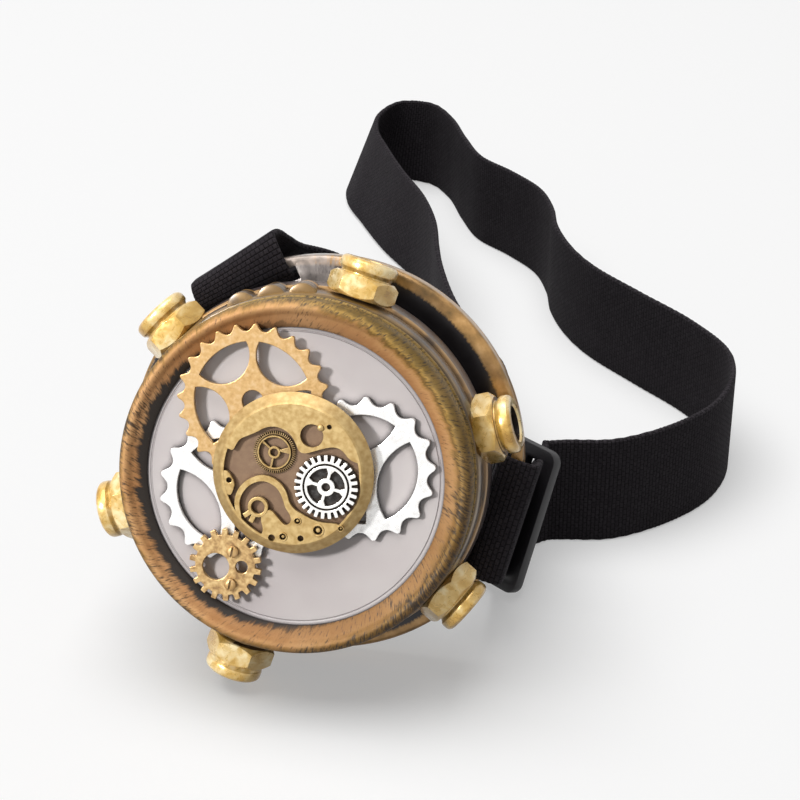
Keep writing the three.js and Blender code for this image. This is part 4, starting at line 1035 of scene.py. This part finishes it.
def bridge(name, edge, holes, rounding):
    """What a bridge's outline and the plate's round side have in common, rounded over and cut flat below."""
    foot = 0.2
    piece = spun(name, [(0, foot), (slope_r(foot), foot), (slope_r(PLATE_TOP), PLATE_TOP), (0, PLATE_TOP)])
    joined(piece, cut_plate("edge", [rounded(edge)], 0.0, 3.2, edge=0.01), "INTERSECT")
    for radius, at in holes:
        joined(piece, rod(radius, -1, CUT_TOP, at), "DIFFERENCE")
    soften(piece, rounding, segments=3, angle=35)
    return joined(piece, rod(CUT_R, CLEAR_ABOVE, CUT_TOP), "INTERSECT")


def lug(turn_deg):
    """A short bar that stands out from the eye of the lower bridge."""
    bar = [(1.5, -0.45), (3.2, -0.45), (3.2, 0.45), (1.5, 0.45)]
    return cut_plate("lug", [shifted(turned(bar, turn_deg), EYE_AT)], BRIDGE_BOTTOM, 0.9)


def bridges():
    upper = bridge("upper_bridge", TRAIN_EDGE, [(2.15, (3.45, 7.5)), (0.45, (6.58, 9.4))], rounding=0.28)
    settle_plate(upper, "antique_brass", "train_bridge")
    holes = [(0.66, (-3.0, -12.09)), (0.58, (2.4, -11.68))] + [(0.72 * r, at) for at, r in BOSSES]
    lower = bridge("lower_bridge_curl", LOWER_EDGE, holes, rounding=0.2)
    eye = cut_plate("eye", [ring_points(1.9, EYE_AT), ring_points(1.27, EYE_AT)], BRIDGE_BOTTOM, 1.0)
    lower = merged("lower_bridge_curl", [lower, eye, lug(217), lug(247)])
    settle_plate(lower, "antique_brass", "lower_bridge")


def spoked_wheel():
    knurl = toothed(teeth=60, tip=3.95, root=3.45, tip_share=0.4, root_share=0.4)
    knurl = cut_plate("knurl", [knurl, ring_points(3.3)], 1.0, 0.45, edge=0.04)
    band = spun("band", [
        (2.82, 1.1), (3.15, 1.1), (3.15, 1.75), (3.08, 1.85), (2.89, 1.85), (2.82, 1.75)], 96)
    windows = spoke_windows(arms=3, rim=2.84, hub=1.1, width=0.36, arm_deg=20)
    spokes = [ring_points(2.9), ring_points(0.72, steps=32), *windows]
    spokes = cut_plate("spokes", spokes, BRIDGE_BOTTOM, 0.5, edge=0.06)
    hub = spun("hub", [(0.72, 1.1), (1.15, 1.1), (1.15, 1.75), (1.07, 1.85), (0.8, 1.85), (0.72, 1.75)], 48)
    wheel = merged("spoked_wheel", [knurl, band, spokes, hub])
    fix_place(wheel, moved(*WHEEL_AT, 0))
    settle_plate(wheel, "dark_bronze", "train_wheel")


def silver_gear():
    teeth = toothed(teeth=27, tip=5.9, root=4.75, tip_share=0.46, root_share=0.4)
    teeth = cut_plate("teeth", [teeth, ring_points(4.35)], 1.3, 0.95, edge=0.06)
    web = cut_plate("web", [ring_points(5.75)], 1.0, 0.4, edge=0.05)
    arm_deg = 78
    windows = spoke_windows(arms=4, rim=3.5, hub=1.62, width=0.55, arm_deg=arm_deg)
    inner = cut_plate("inner", [ring_points(3.98), ring_points(0.8)] + windows, 1.4, 0.9, edge=0.07)
    flare = [(2.5, -0.2), (3.7, -0.95), (3.7, 0.95), (2.5, 0.2)]
    flares = [cut_plate("flare", [turned(flare, arm_deg + 90 * k)], 1.4, 0.86, edge=0.05) for k in range(4)]
    gear = merged("silver_movement_gear", [teeth, web, inner, *flares])
    fix_place(gear, moved(*GEAR_AT, 0))
    settle_plate(gear, "silver_metal", "movement_gear", material=GEAR_SILVER)


def movement_bosses():
    """Jewel collars with their pins, and one stud."""
    bosses = []
    top = PLATE_TOP + 0.2
    for at, r in BOSSES:
        collar = spun("collar", [
            (0.68 * r, 1.3), (0.9 * r, 1.3), (r, 1.6), (r, top - 0.12), (0.92 * r, top), (0.76 * r, top),
            (0.68 * r, top - 0.12)], steps=40)
        pin = spun("pin", [
            (0, 1.0), (0.42 * r, 1.0), (0.42 * r, 1.8), (0.3 * r, 1.98), (0, 2.02)], steps=32)
        for piece in (collar, pin):
            fix_place(piece, moved(*at, 0))
        bosses += [collar, pin]
    stud = spun("stud", [(0, 1.3), (0.6, 1.3), (0.6, 2.2), (0.52, 2.4), (0.3, 2.55), (0, 2.6)], steps=32)
    fix_place(stud, moved(*STUD_AT, 0))
    bosses.append(stud)
    settle(merged("movement_bosses", bosses), MOVEMENT_GOLD, "lens_stack", "antique_brass", place=PLATE)


# Slider

SLIDER_SIZE = (20, 31)
SLIDER_THICKNESS = 2.5
SLIDER_SLOT = (3.6, 25.3)
SLIDER_SLOT_OFF = 4.5
SLIDER_AT = (14.573, -68.403, 15.224)
SLIDER_ACROSS = Vector((0.225, 0.341, 0.912))
SLIDER_ALONG = Vector((0.78, -0.61, 0.02))


def slider_frame():
    def rectangle(width, length, radius, x=0.0):
        corners = [(1, 1, 0), (-1, 1, 90), (-1, -1, 180), (1, -1, 270)]
        points = []
        for right, up, turn in corners:
            middle = (x + right * (width / 2 - radius), up * (length / 2 - radius))
            points += arc_points(middle, radius, turn, turn + 90, 8)
        return points

    outlines = [rectangle(*SLIDER_SIZE, radius=2.5)]
    outlines += [rectangle(*SLIDER_SLOT, radius=0.6, x=side * SLIDER_SLOT_OFF) for side in (-1, 1)]
    piece = cut_plate("slider_frame", outlines, -SLIDER_THICKNESS / 2, SLIDER_THICKNESS, edge=0.45)
    across = SLIDER_ACROSS.normalized()
    along = (SLIDER_ALONG - SLIDER_ALONG.dot(across) * across).normalized()
    facing = along.cross(across)
    place = Matrix((along, across, facing)).transposed().to_4x4()
    place.translation = Vector(SLIDER_AT) * MM
    settle(piece, ACETAL, "slider", "black_plastic", "strap_slider", place=place)


bezel_ring()
lens_disc()
eyecup_shell()
rim_ring()
lock_nuts()
sprockets()
small_cog()
movement_base()
bridges()
spoked_wheel()
silver_gear()
movement_bosses()
slider_frame()


# Table, light and camera

TABLE_GLOW = 0.36


def table():
    bpy.ops.object.select_all(action="DESELECT")
    bpy.ops.mesh.primitive_plane_add(size=6)
    floor = bpy.context.object
    floor.name = "table_top"
    m = new_material("white_table", Roughness=0.9, Specular_IOR_Level=0.1)
    seen = seen_directly(m)
    # White to the eye, and grey to the light that it throws back up
    tint = add(m, "MixRGB", Fac=seen, Color1="#8c8c8c", Color2="#ffffff")
    feed(m, Base_Color=tint)
    share = add(m, "Math", seen, TABLE_GLOW, operation="MULTIPLY")
    glow = add(m, "Emission", Strength=1.0)
    lit = m.node_tree.nodes["Principled BSDF"].outputs["BSDF"]
    mixed = add(m, "MixShader", share, lit, glow)
    m.node_tree.links.new(mixed, m.node_tree.nodes["Material Output"].inputs["Surface"])
    floor.data.materials.append(m)


def light():
    world = bpy.data.worlds.new("studio")
    world.use_nodes = True
    bpy.context.scene.world = world
    seen = seen_directly(world)
    strength = add(world, "MapRange", Value=seen, To_Min=0.12, To_Max=1.0)
    back = world.node_tree.nodes["Background"]
    back.inputs["Color"].default_value = (1, 1, 1, 1)
    world.node_tree.links.new(strength, back.inputs["Strength"])

    def lamp(name, toward, distance, size, watts):
        data = bpy.data.lights.new(name, "AREA")
        data.size = size
        data.energy = watts
        made = bpy.data.objects.new(name, data)
        bpy.context.collection.objects.link(made)
        direction = Vector(toward).normalized()
        made.location = EYE_CENTRE + direction * distance
        made.rotation_euler = direction.to_track_quat("Z", "Y").to_euler()
        return made

    key = lamp("key_softbox", toward=(-0.567, -0.633, 0.527), distance=0.9, size=0.12, watts=9.4)
    lamp("overhead_softbox", toward=(-0.2, 0.0, 1.0), distance=2.2, size=2.1, watts=52.0)
    # The key is flagged off the table and the strap, so that only the soft light throws shadows there
    lit = bpy.data.collections.new("lit_by_key")
    for piece in bpy.context.scene.objects:
        if piece.type == "MESH" and piece.name not in ("table_top", "strap_long", "strap_tail"):
            lit.objects.link(piece)
    key.light_linking.receiver_collection = lit


def camera():
    data = bpy.data.cameras.new("photograph")
    data.lens = CAMERA_LENS
    data.sensor_width = CAMERA_SENSOR
    made = bpy.data.objects.new("photograph", data)
    bpy.context.collection.objects.link(made)
    made.location = CAMERA_PLACE
    made.rotation_euler = CAMERA_LOOKS.normalized().to_track_quat("-Z", "Y").to_euler()
    bpy.context.scene.camera = made


table()
light()
camera()
bpy.context.scene.view_settings.view_transform = "Standard"
